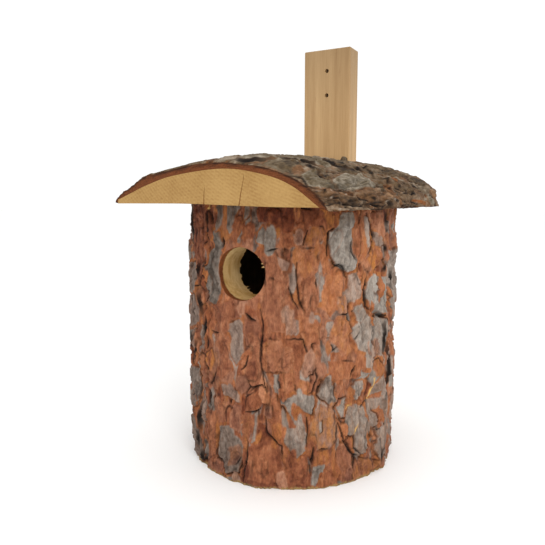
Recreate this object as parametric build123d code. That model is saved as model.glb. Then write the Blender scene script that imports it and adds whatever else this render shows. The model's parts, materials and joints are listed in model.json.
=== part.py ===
from build123d import *
import math
import os

# Log nest box: a hollowed pine log in its bark, closed below by a plug and above by a bark-covered
# slab, hung by a batten screwed to its back.
# Millimetres. The origin is the centre of the log's foot, +Z is up and the entrance faces -Y.

# The hollowed log
log_height = 223.0
wood_radius = 86.0
wall_thickness = 25.0

# Bark round the log: plates between furrows that wander on their way up. The furrows are shallow on
# the smooth side and deep on the others. The rows of wander and depth are gone through over and over
# on the way round, and each level starts some steps further along them.
bark_thickness = 5.8
log_plate_count = 24
log_crest_share = 0.94
log_level_shares = (0.0, 0.46, 1.0)
log_smooth_turn_share = 0.8
log_smooth_share = 0.7
log_wander_step = 2
log_furrow_wander_shares = (0.1, -0.16, 0.04, 0.2, -0.08, 0.14, -0.2)
log_depth_step = 3
log_furrow_depth_shares = (0.46, 0.62, 0.38, 0.56, 0.5)

# Entrance, bored through bark and wood
entrance_radius = 21.0
entrance_drop = 52.0

# Floor plug in the foot of the cavity
floor_thickness = 20.0
floor_clearance = 0.25
floor_chamfer = 1.5

# Roof slab: a tapered offcut, thin and narrow at the front, sawn flat below
roof_front_overhang = 40.2
slab_front_inset = 1.5
slab_front_rise = 25.8
slab_rear_overhang = 13.0
slab_rear_rise = 40.0
slab_outline_shares = ((-0.69, 0.6), (-0.36, 0.87), (0.13, 1.0), (0.505, 0.845), (0.762, 0.535))

# Bark left on the slab's round side, swollen half way along, with its furrows across the slab; each
# plate stands out by a share of its own width
roof_bark_front_edge = 4.5
roof_bark_front_crown = 5.6
roof_bark_rear_edge = 10.0
roof_bark_rear_crown = 7.0
roof_bark_swell = 0.6
roof_middle_share = 0.45
roof_front_bulge_share = 0.07
roof_middle_bulge_share = 0.13
roof_rear_bulge_share = 0.1
roof_front_furrow_shares = (
    (-0.965, 0.16), (-0.774, 0.47), (-0.48, 0.76), (-0.156, 0.92),
    (0.2, 1.0), (0.52, 0.86), (0.78, 0.58), (0.95, 0.2),
)
roof_middle_furrow_shares = (
    (-0.975, 0.22), (-0.81, 0.5), (-0.55, 0.72), (-0.22, 0.93),
    (0.12, 1.0), (0.48, 0.84), (0.74, 0.6), (0.965, 0.26),
)
roof_rear_furrow_shares = (
    (-0.97, 0.26), (-0.84, 0.52), (-0.58, 0.75), (-0.25, 0.93),
    (0.1, 1.0), (0.42, 0.86), (0.75, 0.64), (0.96, 0.34),
)

# Hanging batten on a flat planed in the bark at the back
batten_width = 50.0
batten_thickness = 22.0
batten_rise = 156.0
batten_foot_gap = 10.0
batten_offset = -5.0
batten_bark_left = 1.0
batten_chamfer = 0.8
nail_hole_radius = 2.0
nail_hole_pitch = 24.0
nail_hole_top_gap = 21.0

# Countersunk wood screws
screw_head_radius = 3.8
screw_head_depth = 2.8
screw_shank_radius = 1.9
screw_tip_length = 4.0
screw_clearance = 0.1
batten_screw_length = 40.0
batten_screw_foot_gap = 45.0
batten_screw_head_gap = 43.0
roof_screw_length = 60.0
roof_screw_lift = 15.0
roof_screw_edge_gap = 11.0
floor_screw_length = 45.0
floor_screw_turn = 125.0

# How far a cutter reaches past the piece that it cuts
overrun = 5.0

cavity_radius = wood_radius - wall_thickness
entrance_height = log_height - entrance_drop
batten_face = wood_radius + batten_bark_left
batten_back = batten_face + batten_thickness
batten_top = log_height + batten_rise
roof_front = -(wood_radius + bark_thickness + roof_front_overhang)
slab_front_half_width = wood_radius - slab_front_inset
slab_rear_half_width = wood_radius + slab_rear_overhang
log_reach = wood_radius + 2 * bark_thickness


def upright_cylinder(radius, height):
    """A cylinder that stands on the origin."""
    return Cylinder(radius, height, align=(Align.CENTER, Align.CENTER, Align.MIN))


def entrance_bore():
    """The drill's path, from outside the bark to the middle of the cavity."""
    length = log_reach + overrun
    bore = upright_cylinder(entrance_radius, length)
    return Location((0, 0, entrance_height), (90, 0, 0)) * bore


def wood_screw(length, grown=0.0):
    """A countersunk screw along -Z with its head's top at the origin; grown widens it for its hole."""
    head = screw_head_radius + grown
    shank = screw_shank_radius + grown
    tip_start = screw_tip_length - length
    profile = Polyline(
        (0, 0), (head, 0), (shank, -screw_head_depth), (shank, tip_start), (0, -length - grown), close=True
    )
    return revolve(Plane.XZ * make_face(profile), Axis.Z)


def screw_places():
    """Where each screw goes and how long it is, by node name."""
    into_back = (-90, 0, 0)
    lower = batten_screw_foot_gap
    upper = log_height - batten_screw_head_gap
    roof_level = log_height + roof_screw_lift
    places = {
        "batten_screw_lower": (Location((batten_offset, batten_back, lower), into_back), batten_screw_length),
        "batten_screw_upper": (Location((batten_offset, batten_back, upper), into_back), batten_screw_length),
    }
    roof_screw_half_pitch = batten_width / 2 - roof_screw_edge_gap
    for side, sign in (("left", -1), ("right", 1)):
        along = batten_offset + sign * roof_screw_half_pitch
        behind = Location((along, batten_back, roof_level), into_back)
        places["roof_screw_" + side] = (behind, roof_screw_length)
        turn = Location((0, 0, 0), (0, 0, sign * floor_screw_turn - 90))
        head = Location((wood_radius + screw_head_depth, 0, floor_thickness / 2), (0, 90, 0))
        places["floor_screw_" + side] = (turn * head, floor_screw_length)
    return places


def screw_holes(prefix):
    """Cutters for the screws of one kind, open behind their heads."""
    cutters = []
    for name, (place, length) in screw_places().items():
        if name.startswith(prefix):
            pocket = upright_cylinder(screw_head_radius + screw_clearance, log_reach)
            cutters.append(place * (wood_screw(length, screw_clearance) + pocket))
    return cutters


def make_log_wall():
    """The log's wood: a ring the drill left, with the entrance through its front."""
    wall = upright_cylinder(wood_radius, log_height) - upright_cylinder(cavity_radius, log_height)
    wall -= entrance_bore()
    return wall - screw_holes("batten_screw") - screw_holes("floor_screw")


def at_turn(radius, turn_share):
    """A point on a circle round the log's axis, at a share of the whole turn."""
    turn = math.tau * turn_share
    return (radius * math.cos(turn), radius * math.sin(turn))


def log_furrow(number, level):
    """A furrow at one level: its share of the turn round the log, and the radius of the bark under it."""
    wander = log_furrow_wander_shares[(number + log_wander_step * level) % len(log_furrow_wander_shares)]
    turn_share = (number + wander) / log_plate_count
    facing = max(0, math.cos(math.tau * (turn_share - log_smooth_turn_share)))
    depth_share = log_furrow_depth_shares[(number + log_depth_step * level) % len(log_furrow_depth_shares)]
    bark_share = 1 - depth_share * (1 - log_smooth_share * facing)
    return turn_share, wood_radius + bark_thickness * bark_share


def bark_outline(level):
    """A closed outline round the log at one level: an arc over each plate's crest, from furrow to furrow."""
    crest = wood_radius + bark_thickness * log_crest_share
    furrows = [log_furrow(number, level) for number in range(log_plate_count)]
    first_turn_share, first_radius = furrows[0]
    furrows.append((first_turn_share + 1, first_radius))
    arcs = []
    for (start_share, start_radius), (end_share, end_radius) in zip(furrows, furrows[1:]):
        middle_share = (start_share + end_share) / 2
        start = at_turn(start_radius, start_share)
        end = at_turn(end_radius, end_share)
        arcs.append(ThreePointArc(start, at_turn(crest, middle_share), end))
    return Plane.XY.offset(log_height * log_level_shares[level]) * make_face(arcs)


def make_log_bark():
    """Bark on the log, planed flat at the back where the batten sits."""
    levels = range(len(log_level_shares))
    bark = loft([bark_outline(level) for level in levels])
    bark = bark - upright_cylinder(wood_radius, log_height) - entrance_bore()
    planed = Box(2 * log_reach, log_reach, log_height, align=(Align.CENTER, Align.MIN, Align.MIN))
    bark -= Location((0, batten_face, 0)) * planed
    return bark - screw_holes("batten_screw") - screw_holes("floor_screw")


def make_floor_disc():
    """Round plug that closes the foot of the cavity."""
    disc = upright_cylinder(cavity_radius - floor_clearance, floor_thickness)
    disc = chamfer(disc.edges().group_by(Axis.Z)[-1], floor_chamfer)
    return disc - screw_holes("floor_screw")


def slab_points(half_width, rise, shares):
    """The corners of the sawn foot, with the points of the round back between them."""
    back = [(half_width * along, rise * up) for along, up in shares]
    return [(-half_width, 0), *back, (half_width, 0)]


def slab_face(depth, points, back):
    """One upright cross-section of the slab at a depth along Y: a flat sawn foot under a round back."""
    place = Plane(origin=(0, depth, log_height), x_dir=(1, 0, 0), z_dir=(0, -1, 0))
    return place * make_face([Line(points[-1], points[0]), *back])


def wood_section(depth, half_width, rise):
    """The slab's wood in section."""
    points = slab_points(half_width, rise, slab_outline_shares)
    return slab_face(depth, points, [Spline(points)])


def bark_section(depth, half_width, rise, furrow_shares, bulge_share):
    """The slab's wood and bark in section: a plate stands out between each furrow and the next."""
    points = slab_points(half_width, rise, furrow_shares)
    plates = []
    for start, end in zip(points, points[1:]):
        plates.append(SagittaArc(start, end, bulge_share * math.dist(start, end)))
    return slab_face(depth, points, plates)


def make_slab_wood():
    """The slab's wood, from its front saw cut to its rear one."""
    front = wood_section(roof_front, slab_front_half_width, slab_front_rise)
    rear = wood_section(batten_face, slab_rear_half_width, slab_rear_rise)
    return loft([front, rear])


def make_roof_slab():
    """The slab's wood, drilled at its thick rear end."""
    return make_slab_wood() - screw_holes("roof_screw")


def part_way(front, rear):
    """A value at the roof's middle section."""
    return front + roof_middle_share * (rear - front)


def make_roof_bark():
    """Bark over the slab's round side, in plates that run from front to rear, blunt along the eaves."""
    front_width = slab_front_half_width + roof_bark_front_edge
    front_rise = slab_front_rise + roof_bark_front_crown
    rear_width = slab_rear_half_width + roof_bark_rear_edge
    rear_rise = slab_rear_rise + roof_bark_rear_crown
    middle_width = part_way(front_width, rear_width)
    middle_rise = part_way(front_rise, rear_rise) + roof_bark_swell
    middle_depth = part_way(roof_front, batten_face)
    front = bark_section(
        roof_front, front_width, front_rise, roof_front_furrow_shares, roof_front_bulge_share
    )
    middle = bark_section(
        middle_depth, middle_width, middle_rise, roof_middle_furrow_shares, roof_middle_bulge_share
    )
    rear = bark_section(
        batten_face, rear_width, rear_rise, roof_rear_furrow_shares, roof_rear_bulge_share
    )
    return loft([front, middle, rear]) - make_slab_wood()


def make_hanging_batten():
    """Sawn batten up the back, with two nail holes above the roof."""
    length = batten_top - batten_foot_gap
    batten = Box(batten_width, batten_thickness, length, align=(Align.CENTER, Align.MIN, Align.MIN))
    batten = Location((batten_offset, batten_face, batten_foot_gap)) * batten
    batten = chamfer(batten.edges(), batten_chamfer)
    drill = upright_cylinder(nail_hole_radius, batten_thickness + 2 * overrun)
    for step in range(2):
        height = batten_top - nail_hole_top_gap - step * nail_hole_pitch
        batten -= Location((batten_offset, batten_back + overrun, height), (90, 0, 0)) * drill
    return batten - screw_holes("batten_screw") - screw_holes("roof_screw")


def main():
    os.makedirs("parts", exist_ok=True)
    nodes = {
        "log_wall": make_log_wall(),
        "log_bark": make_log_bark(),
        "floor_disc": make_floor_disc(),
        "roof_slab": make_roof_slab(),
        "roof_bark": make_roof_bark(),
        "hanging_batten": make_hanging_batten(),
    }
    for name, (place, length) in screw_places().items():
        nodes[name] = place * wood_screw(length)
    for name, solid in nodes.items():
        export_step(solid, "parts/" + name + ".step")
        print(name, "volume", round(solid.volume))


main()
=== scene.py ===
# %% [markdown]
# # A nest box made from a log
# The real box is a length of pine trunk, hollowed out and still in its bark. A slab sawn from the
# side of a thicker trunk is its roof, and a lath screwed to the back hangs it on a tree. The frame
# that is loaded here holds the box at its real size. This lesson gives it bark, end grain and fibres.

# %% Load the frame
import json
import math

import bmesh
import bpy
import numpy as np
from mathutils import Matrix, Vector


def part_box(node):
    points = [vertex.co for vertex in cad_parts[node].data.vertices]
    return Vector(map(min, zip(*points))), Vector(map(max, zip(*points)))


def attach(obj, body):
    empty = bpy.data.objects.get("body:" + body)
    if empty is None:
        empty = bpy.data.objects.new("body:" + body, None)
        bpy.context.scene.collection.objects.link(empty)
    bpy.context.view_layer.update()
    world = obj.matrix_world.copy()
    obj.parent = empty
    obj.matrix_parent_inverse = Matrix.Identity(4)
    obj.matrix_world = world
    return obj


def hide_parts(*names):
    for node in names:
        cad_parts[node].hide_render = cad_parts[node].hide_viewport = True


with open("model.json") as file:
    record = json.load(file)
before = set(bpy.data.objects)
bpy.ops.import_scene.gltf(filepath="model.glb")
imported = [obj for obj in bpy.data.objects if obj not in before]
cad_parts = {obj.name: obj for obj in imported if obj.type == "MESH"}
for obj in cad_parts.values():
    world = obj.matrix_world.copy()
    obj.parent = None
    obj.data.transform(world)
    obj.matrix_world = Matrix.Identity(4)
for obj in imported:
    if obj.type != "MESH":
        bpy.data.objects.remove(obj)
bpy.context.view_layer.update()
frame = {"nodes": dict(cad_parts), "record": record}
print("nodes in the frame:", ", ".join(sorted(frame["nodes"])))

# %% [markdown]
# ## Sizes
# Every piece is worked out in millimetres and written to its mesh in metres. What the frame knows is
# read from it, so that each piece meets what carries it. The rest are sizes that a ruler would give.

# %% Sizes
MM = 0.001


def node_box(name):
    """A node's lowest and highest corner, in millimetres."""
    low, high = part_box(name)
    return np.array(low) / MM, np.array(high) / MM


wall_high = node_box("log_wall")[1]
slab_low, slab_high = node_box("roof_slab")
entrance_box = np.array(frame["record"]["physics"]["openings"][0]["box_m"]) / MM

LOG_HEIGHT = wall_high[2]
WOOD_RADIUS = wall_high[0]
CAVITY_RADIUS = 61.0
BARK_RADIUS = 90.8
ENTRANCE_HEIGHT = entrance_box[:, 2].mean()
ENTRANCE_RADIUS = 21.0
BATTEN_FACE = node_box("hanging_batten")[0][1]
ROOF_FRONT = slab_low[1]
ROOF_REAR = slab_high[1]
ROOF_LENGTH = ROOF_REAR - ROOF_FRONT
print("log", round(LOG_HEIGHT), "mm tall, roof", round(ROOF_LENGTH), "mm long")

# %% [markdown]
# ## The camera
# The photograph's perspective was worked out from the log's sides, the entrance and the roof's front.
# The camera comes first because the larger flakes and cracks of the bark are placed by the pixel
# where the photograph shows them. A sight line through that pixel finds the place on the real log.

# %% Camera at the photograph's viewpoint
PHOTO_SIDE = 545.0
PHOTO_MIDDLE = PHOTO_SIDE / 2
FOCAL_PIXELS = 574.0
SENSOR_WIDTH = 36.0
CAMERA_TURN = math.radians(26.45)
CAMERA_DISTANCE = 522.1
CAMERA_HEIGHT = 226.6
SIGHT_TURN = math.radians(28.42)
SIGHT_DROP = math.radians(7.01)

eye = np.array(
    [CAMERA_DISTANCE * math.sin(CAMERA_TURN), -CAMERA_DISTANCE * math.cos(CAMERA_TURN), CAMERA_HEIGHT]
)
backward = np.array(
    [
        math.sin(SIGHT_TURN) * math.cos(SIGHT_DROP),
        -math.cos(SIGHT_TURN) * math.cos(SIGHT_DROP),
        math.sin(SIGHT_DROP),
    ]
)
rightward = np.array([math.cos(SIGHT_TURN), math.sin(SIGHT_TURN), 0.0])
upward = np.cross(backward, rightward)

LAST_ROW = [0, 0, 0, 1]


def stand_at(thing, right, up, back, place):
    """Sets a camera or lamp at a place in metres, with its own axes pointing right, up and back."""
    turned = np.column_stack([right, up, back, place])
    thing.matrix_world = Matrix([*turned.tolist(), LAST_ROW])


camera_data = bpy.data.cameras.new("photo_camera")
camera_data.sensor_width = SENSOR_WIDTH
camera_data.lens = SENSOR_WIDTH * FOCAL_PIXELS / PHOTO_SIDE
camera = bpy.data.objects.new("photo_camera", camera_data)
stand_at(camera, rightward, upward, backward, eye * MM)
bpy.context.scene.collection.objects.link(camera)
bpy.context.scene.camera = camera
print("camera lens", round(camera_data.lens, 1), "mm")


# %% Sight lines
def to_photo(points):
    """The pixel where each point shows.

    Its offsets to the right and down from the eye, over its depth, are multiplied by the focal length.
    """
    offset = points - eye
    depth = -offset @ backward
    across = PHOTO_MIDDLE + FOCAL_PIXELS * (offset @ rightward) / depth
    down = PHOTO_MIDDLE - FOCAL_PIXELS * (offset @ upward) / depth
    return across, down


def sight_through(x, y):
    """The direction of the sight line through a pixel, for one step forward."""
    across = (x - PHOTO_MIDDLE) / FOCAL_PIXELS
    down = (y - PHOTO_MIDDLE) / FOCAL_PIXELS
    return across * rightward - down * upward - backward


def on_log(x, y):
    """Where the sight line through a pixel meets the bark: the way round from the front, and the height.

    The line eye + k d meets the cylinder of radius r at the smaller root k of |eye + k d|^2 = r^2.
    """
    sight = sight_through(x, y)
    square = sight[:2] @ sight[:2]
    half_slope = eye[:2] @ sight[:2]
    rest = eye[:2] @ eye[:2] - BARK_RADIUS**2
    root = math.sqrt(max(half_slope**2 - square * rest, 0.0))
    hit = eye + sight * (-half_slope - root) / square
    return BARK_RADIUS * math.atan2(hit[0], -hit[1]), hit[2]


entrance_middle = np.array([0, -BARK_RADIUS, ENTRANCE_HEIGHT])
print("the entrance's middle shows at", [round(float(v)) for v in to_photo(entrance_middle)])

# %% [markdown]
# ## Chance that repeats
# Bark and wood are never even, so most shapes here lean on noise. A fixed table of random numbers is
# read at whole-number places and blended in between, which gives the same bark on every run.

# %% Noise
CHANCE_SIDE, CHANCE_SEED = 256, 20
CHANCE = np.random.default_rng(CHANCE_SEED).random((CHANCE_SIDE, CHANCE_SIDE))
# How far a salt moves its reader through the table, so that two salts give two patterns.
SALT_COLUMNS, SALT_ROWS = 57, 113


def ease(share):
    """A share from 0 to 1, started and ended gently: 3 s^2 - 2 s^3."""
    held = np.clip(share, 0.0, 1.0)
    return held * held * (3 - 2 * held)


def soft_noise(across, along, salt):
    """Noise from 0 to 1: random heights at lattice corners, blended between the four round a point."""
    column = np.floor(across).astype(int)
    row = np.floor(along).astype(int)
    to_right = ease(across - column)
    upwards = ease(along - row)

    def corner(step, rise):
        at_column = (column + step + SALT_COLUMNS * salt) % CHANCE_SIDE
        at_row = (row + rise + SALT_ROWS * salt) % CHANCE_SIDE
        return CHANCE[at_column, at_row]

    low = corner(0, 0) * (1 - to_right) + corner(1, 0) * to_right
    high = corner(0, 1) * (1 - to_right) + corner(1, 1) * to_right
    return low * (1 - upwards) + high * upwards


def rough_noise(across, along, size, salt, stretch=1.0, layers=3, fading=0.5):
    """Layers of soft noise, each half as large and weaker by fading, brought back to 0 to 1."""
    total = 0.0
    strength = 0.0
    for layer in range(layers):
        finer = 2**layer
        weight = fading**layer
        noise = soft_noise(across * finer / size, along * finer / (size * stretch), salt + layer)
        total = total + weight * noise
        strength += weight
    return total / strength


print("noise of", CHANCE.size, "numbers, mean", round(float(CHANCE.mean()), 3))

# %% [markdown]
# ## Meshes from arrays
# A piece is a grid of points. Its squares are numbered with whole arrays, and the finish of each
# point, such as how grey the bark has turned, goes into the mesh as an attribute for its material.
# Where the first and last column of a grid meet, or a whole row is one point, the doubles are merged.

# %% From a grid of points to a piece
SEAM_REACH = 1e-6


def grid_squares(rows, columns):
    """The four corner numbers of each square of a grid whose points are counted row by row."""
    number = np.arange(rows * columns).reshape(rows, columns)
    corners = [number[:-1, :-1], number[:-1, 1:], number[1:, 1:], number[1:, :-1]]
    return np.stack(corners, axis=-1).reshape(-1, 4)


def make_piece(name, points, squares, material, finishes=None):
    """A mesh object at the origin that rides on the box, from points in millimetres and their faces."""
    mesh = bpy.data.meshes.new(name)
    mesh.from_pydata((points.reshape(-1, 3) * MM).tolist(), [], squares.tolist())
    mesh.polygons.foreach_set("use_smooth", np.ones(len(squares), dtype=bool))
    for finish, values in (finishes or {}).items():
        attribute = mesh.attributes.new(finish, "FLOAT", "POINT")
        attribute.data.foreach_set("value", np.ascontiguousarray(values, dtype=np.float32).ravel())
    mesh.materials.append(material)
    shape = bmesh.new()
    shape.from_mesh(mesh)
    bmesh.ops.remove_doubles(shape, verts=shape.verts, dist=SEAM_REACH)
    shape.to_mesh(mesh)
    shape.free()
    piece = bpy.data.objects.new(name, mesh)
    bpy.context.scene.collection.objects.link(piece)
    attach(piece, "root")
    print(name, "has", len(squares), "faces")
    return piece


print("points less than", SEAM_REACH / MM, "mm apart are merged")

# %% [markdown]
# ## How a finish is made
# Each material is a small graph of nodes. One function adds a node, sets it up and links what feeds
# it. Colours are written as sRGB hex values, as a paint chart gives them, and turned to linear light.

# %% Colours
# Where the sRGB curve turns, and its slope, lift and power.
SRGB_TURN, SRGB_SLOPE, SRGB_LIFT, SRGB_POWER = 0.04045, 12.92, 0.055, 2.4


def paint(colour):
    """An sRGB hex value as linear red, green, blue and full alpha.

    A part c up to the turn gives c / slope, and above it ((c + lift) / (1 + lift)) ^ power.
    """
    parts = [int(colour[start : start + 2], 16) / 255 for start in (1, 3, 5)]
    linear = [
        part / SRGB_SLOPE if part <= SRGB_TURN else ((part + SRGB_LIFT) / (1 + SRGB_LIFT)) ** SRGB_POWER
        for part in parts
    ]
    return [*linear, 1.0]


print("paint('#8b634a') is", [round(v, 3) for v in paint("#8b634a")])

# %% Nodes
# The numbers of a Mix node's colour sockets, because its other sockets have the same names.
MIX_SHARE, MIX_FIRST, MIX_SECOND, MIX_RESULT = 0, 6, 7, 2
USUAL_SPECULAR = 0.3
ALL_WAYS = (1.0, 1.0, 1.0)


def add_node(tree, kind, inputs=None, stops=None, **settings):
    """Adds one shader node.

    Settings are its own properties, inputs its values or the sockets that feed it, stops its ramp's colours.
    """
    made = tree.nodes.new("ShaderNode" + kind)
    for name, value in settings.items():
        setattr(made, name, value)
    for name, value in (inputs or {}).items():
        if isinstance(value, bpy.types.NodeSocket):
            tree.links.new(value, made.inputs[name])
        else:
            made.inputs[name].default_value = value
    for place, (share, colour) in enumerate(stops or []):
        ramp = made.color_ramp.elements
        stop = ramp[place] if place < len(ramp) else ramp.new(share)
        stop.position = share
        stop.color = paint(colour)
    return made


def new_material(name, roughness, specular=USUAL_SPECULAR):
    """An empty material: its node tree and its surface shader."""
    material = bpy.data.materials.new(name)
    material.use_nodes = True
    shader = material.node_tree.nodes["Principled BSDF"]
    shader.inputs["Roughness"].default_value = roughness
    shader.inputs["Specular IOR Level"].default_value = specular
    return material, material.node_tree, shader


def per_metre(size):
    """The scale of a pattern whose features are a size in millimetres apart."""
    return 1 / (size * MM)


def pattern(tree, place, size, detail=2.0, along=ALL_WAYS, roughness=0.5):
    """Noise with features a size in millimetres apart, drawn out along the axes where along is small."""
    drawn = add_node(tree, "Mapping", {"Vector": place, "Scale": along}).outputs["Vector"]
    inputs = {"Vector": drawn, "Scale": per_metre(size), "Detail": detail, "Roughness": roughness}
    return add_node(tree, "TexNoise", inputs).outputs["Fac"]


def reckon(tree, operation, *values):
    """One step of arithmetic."""
    return add_node(tree, "Math", dict(enumerate(values)), operation=operation).outputs[0]


def spread(tree, value, bounds):
    """A value moved from one pair of bounds to another, and held between them."""
    return add_node(tree, "MapRange", {"Value": value, **bounds}).outputs["Result"]


def blend(tree, share, first, second, way="MIX"):
    """Two colours, with a share of the second."""
    inputs = {MIX_SHARE: share, MIX_FIRST: first, MIX_SECOND: second}
    return add_node(tree, "Mix", inputs, data_type="RGBA", blend_type=way).outputs[MIX_RESULT]


def dress(tree, shader, colour, height, strength, depth):
    """Gives a surface its colour, and a fine relief that is a depth in millimetres."""
    tree.links.new(colour, shader.inputs["Base Color"])
    inputs = {"Height": height, "Strength": strength, "Distance": depth * MM}
    relief = add_node(tree, "Bump", inputs).outputs["Normal"]
    tree.links.new(relief, shader.inputs["Normal"])


print("a pattern with features 5 mm apart has the scale", per_metre(5))

# %% [markdown]
# ## Pine bark
# The outer bark of a pine breaks into flakes. Where one has just fallen, the layer below is red-brown
# or ochre; where it has hung on for years it is grey. Between flakes the bark is deep, and its shade is
# painted dark. The material therefore mixes a fresh and a weathered palette by the finish of each
# point, paints the crevices dark as their shade, and adds a fine grain along the trunk. A matt,
# rough surface keeps highlights away.

# %% Bark material
BARK_ROUGHNESS, BARK_SPECULAR = 0.88, 0.22
GRAIN_SIZE, MOTTLE_SIZE, STREAK_SIZE = 0.9, 5.0, 2.4
GRAIN_DETAIL, MOTTLE_DETAIL = 3.0, 4.0
STREAK_STRETCH = 0.6
STREAK_BOUNDS = {"From Min": 0.38, "From Max": 0.62}
MOTTLE_STRENGTH, MOTTLE_MIDDLE = 0.55, 0.28
SPECKLE_BOUNDS = {"From Min": 0.3, "From Max": 0.7, "To Min": 0.78, "To Max": 1.18}
GRAIN_RELIEF, GRAIN_DEPTH = 0.55, 0.35
# Painted shade in crevices, gaps and under steps; on the roof's sawn ends this layer is the bark's dark outer
# skin.
CREVICE_SHADE_AND_SKIN_COLOUR = "#120904"


def pine_bark(name, fresh, weathered, ochre, cut, bare, grain_along):
    """Weathered pine bark: two palettes mixed by each point's finish, with crevices painted dark as shade,
    and cut edges.
    """
    material, tree, shader = new_material(name, BARK_ROUGHNESS, BARK_SPECULAR)
    place = add_node(tree, "TexCoord").outputs["Object"]
    finish = {
        key: add_node(tree, "Attribute", attribute_name=key).outputs["Fac"]
        for key in ("weathered", "tone", "ochre", "crevice_shade_and_skin", "cut", "bare")
    }
    streaks_along = [stretch * STREAK_STRETCH for stretch in grain_along]
    grain = pattern(tree, place, GRAIN_SIZE, GRAIN_DETAIL, grain_along)
    mottle = pattern(tree, place, MOTTLE_SIZE, MOTTLE_DETAIL)
    streak = pattern(tree, place, STREAK_SIZE, GRAIN_DETAIL, streaks_along)
    shade = reckon(tree, "MULTIPLY_ADD", mottle, MOTTLE_STRENGTH, finish["tone"])
    shade = reckon(tree, "SUBTRACT", shade, MOTTLE_MIDDLE)
    finish["ochre"] = reckon(tree, "MULTIPLY", finish["ochre"], spread(tree, streak, STREAK_BOUNDS))
    colour = None
    layers = (
        (fresh, None),
        (weathered, "weathered"),
        ((ochre,), "ochre"),
        ((cut,), "cut"),
        ((CREVICE_SHADE_AND_SKIN_COLOUR,), "crevice_shade_and_skin"),
        ((bare,), "bare"),
    )
    for palette, share in layers:
        if len(palette) > 1:
            stops = [(step / (len(palette) - 1), hue) for step, hue in enumerate(palette)]
            layer = add_node(tree, "ValToRGB", {"Fac": shade}, stops).outputs["Color"]
        else:
            layer = paint(palette[0])
        if share is None:
            colour = layer
        else:
            colour = blend(tree, finish[share], colour, layer)
    speckled = blend(tree, 1.0, colour, spread(tree, grain, SPECKLE_BOUNDS), "MULTIPLY")
    dress(tree, shader, speckled, grain, GRAIN_RELIEF, GRAIN_DEPTH)
    return material


print("the bark's grain is", GRAIN_SIZE, "mm wide and its streaks", STREAK_SIZE, "mm")

# %% The two barks
log_bark_finish = pine_bark(
    "flaking pine bark",
    fresh=("#562919", "#794229", "#935838", "#a86e4c"),
    weathered=("#4b4139", "#70655c", "#867c72", "#9b9288"),
    ochre="#a86c34",
    cut="#8f7347",
    bare="#c79c5a",
    grain_along=(1.0, 1.0, 0.35),
)
roof_bark_finish = pine_bark(
    "thick plated pine bark",
    fresh=("#38210c", "#5c3819", "#724928", "#87603a"),
    weathered=("#2a2016", "#52432e", "#6b5f4d", "#8b8070"),
    ochre="#854a1e",
    cut="#6a3a1d",
    bare="#97897a",
    grain_along=(1.0, 0.35, 1.0),
)
print("bark finishes:", log_bark_finish.name, "and", roof_bark_finish.name)

# %% [markdown]
# ## A flat sheet of bark
# Bark is easier to lay out flat than on the trunk. A sheet is a raster of points half a millimetre
# apart with a relief and a finish. Flakes are pressed on one after another, so that later ones lie
# over earlier ones as they do on the tree, and cracks are cut last. Each curved piece then reads its
# relief from the sheet.

# %% The sheet
SHEET_STEP = 0.5
SHEET_FINISHES = ("weathered", "tone", "ochre", "crevice_shade_and_skin", "bare")
RAGGED_SIZE, RAGGED_LAYERS, RAGGED_FADING = 8.0, 4, 0.52
GAP_SIZE, GAP_SALT = 17.0, 5
GAP_CONTRAST, GAP_START = 3, 1
# Keeps the last point's neighbour inside the raster.
PAST_LAST = 1.001


class BarkSheet:
    """Bark laid flat: at each raster point its relief in millimetres and its finish from 0 to 1."""

    def __init__(self, width, length, stretch, salt, edge, ring):
        self.left = -width / 2
        self.edge = edge
        self.ring = ring
        columns = np.arange(self.left, width / 2 + SHEET_STEP, SHEET_STEP)
        rows = np.arange(0, length + SHEET_STEP, SHEET_STEP)
        self.across, self.along = np.meshgrid(columns, rows)
        self.relief = np.zeros_like(self.across)
        self.finish = {name: np.zeros_like(self.across) for name in SHEET_FINISHES}
        self.ragged = self.noise(RAGGED_SIZE, salt, stretch, RAGGED_LAYERS, RAGGED_FADING)
        gaps = rough_noise(self.across, self.along, GAP_SIZE, salt + GAP_SALT)
        self.gaping = ease(gaps * GAP_CONTRAST - GAP_START)

    def noise(self, *form):
        """Rough noise all over the sheet, half of it above zero."""
        return rough_noise(self.across, self.along, *form) - 0.5

    def window(self, low, high):
        """The part of the raster between two corners, as a pair of slices."""
        first = np.floor((np.array(low) - (self.left, 0)) / SHEET_STEP).astype(int)
        last = np.ceil((np.array(high) - (self.left, 0)) / SHEET_STEP).astype(int) + 1
        first = np.maximum(first, 0)
        last = np.maximum(last, 0)
        return np.s_[first[1] : last[1], first[0] : last[0]]

    def heights(self, across, along):
        """The relief at places on the sheet, over the sheet's mean."""
        return self.read(self.relief - self.relief.mean(), across, along)

    def finishes(self, across, along):
        """The finishes at places on the sheet."""
        return {name: self.read(values, across, along) for name, values in self.finish.items()}

    def read(self, values, across, along):
        """Values between the raster's points: the four nearest ones, each weighted by how near it is."""
        column = np.clip((across - self.left) / SHEET_STEP, 0, values.shape[1] - PAST_LAST)
        row = np.clip(along / SHEET_STEP, 0, values.shape[0] - PAST_LAST)
        left = column.astype(int)
        low = row.astype(int)
        rightness = column - left
        highness = row - low
        lower = values[low, left] * (1 - rightness) + values[low, left + 1] * rightness
        upper = values[low + 1, left] * (1 - rightness) + values[low + 1, left + 1] * rightness
        return lower * (1 - highness) + upper * highness


print("points of a sheet lie", SHEET_STEP, "mm apart")
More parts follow.
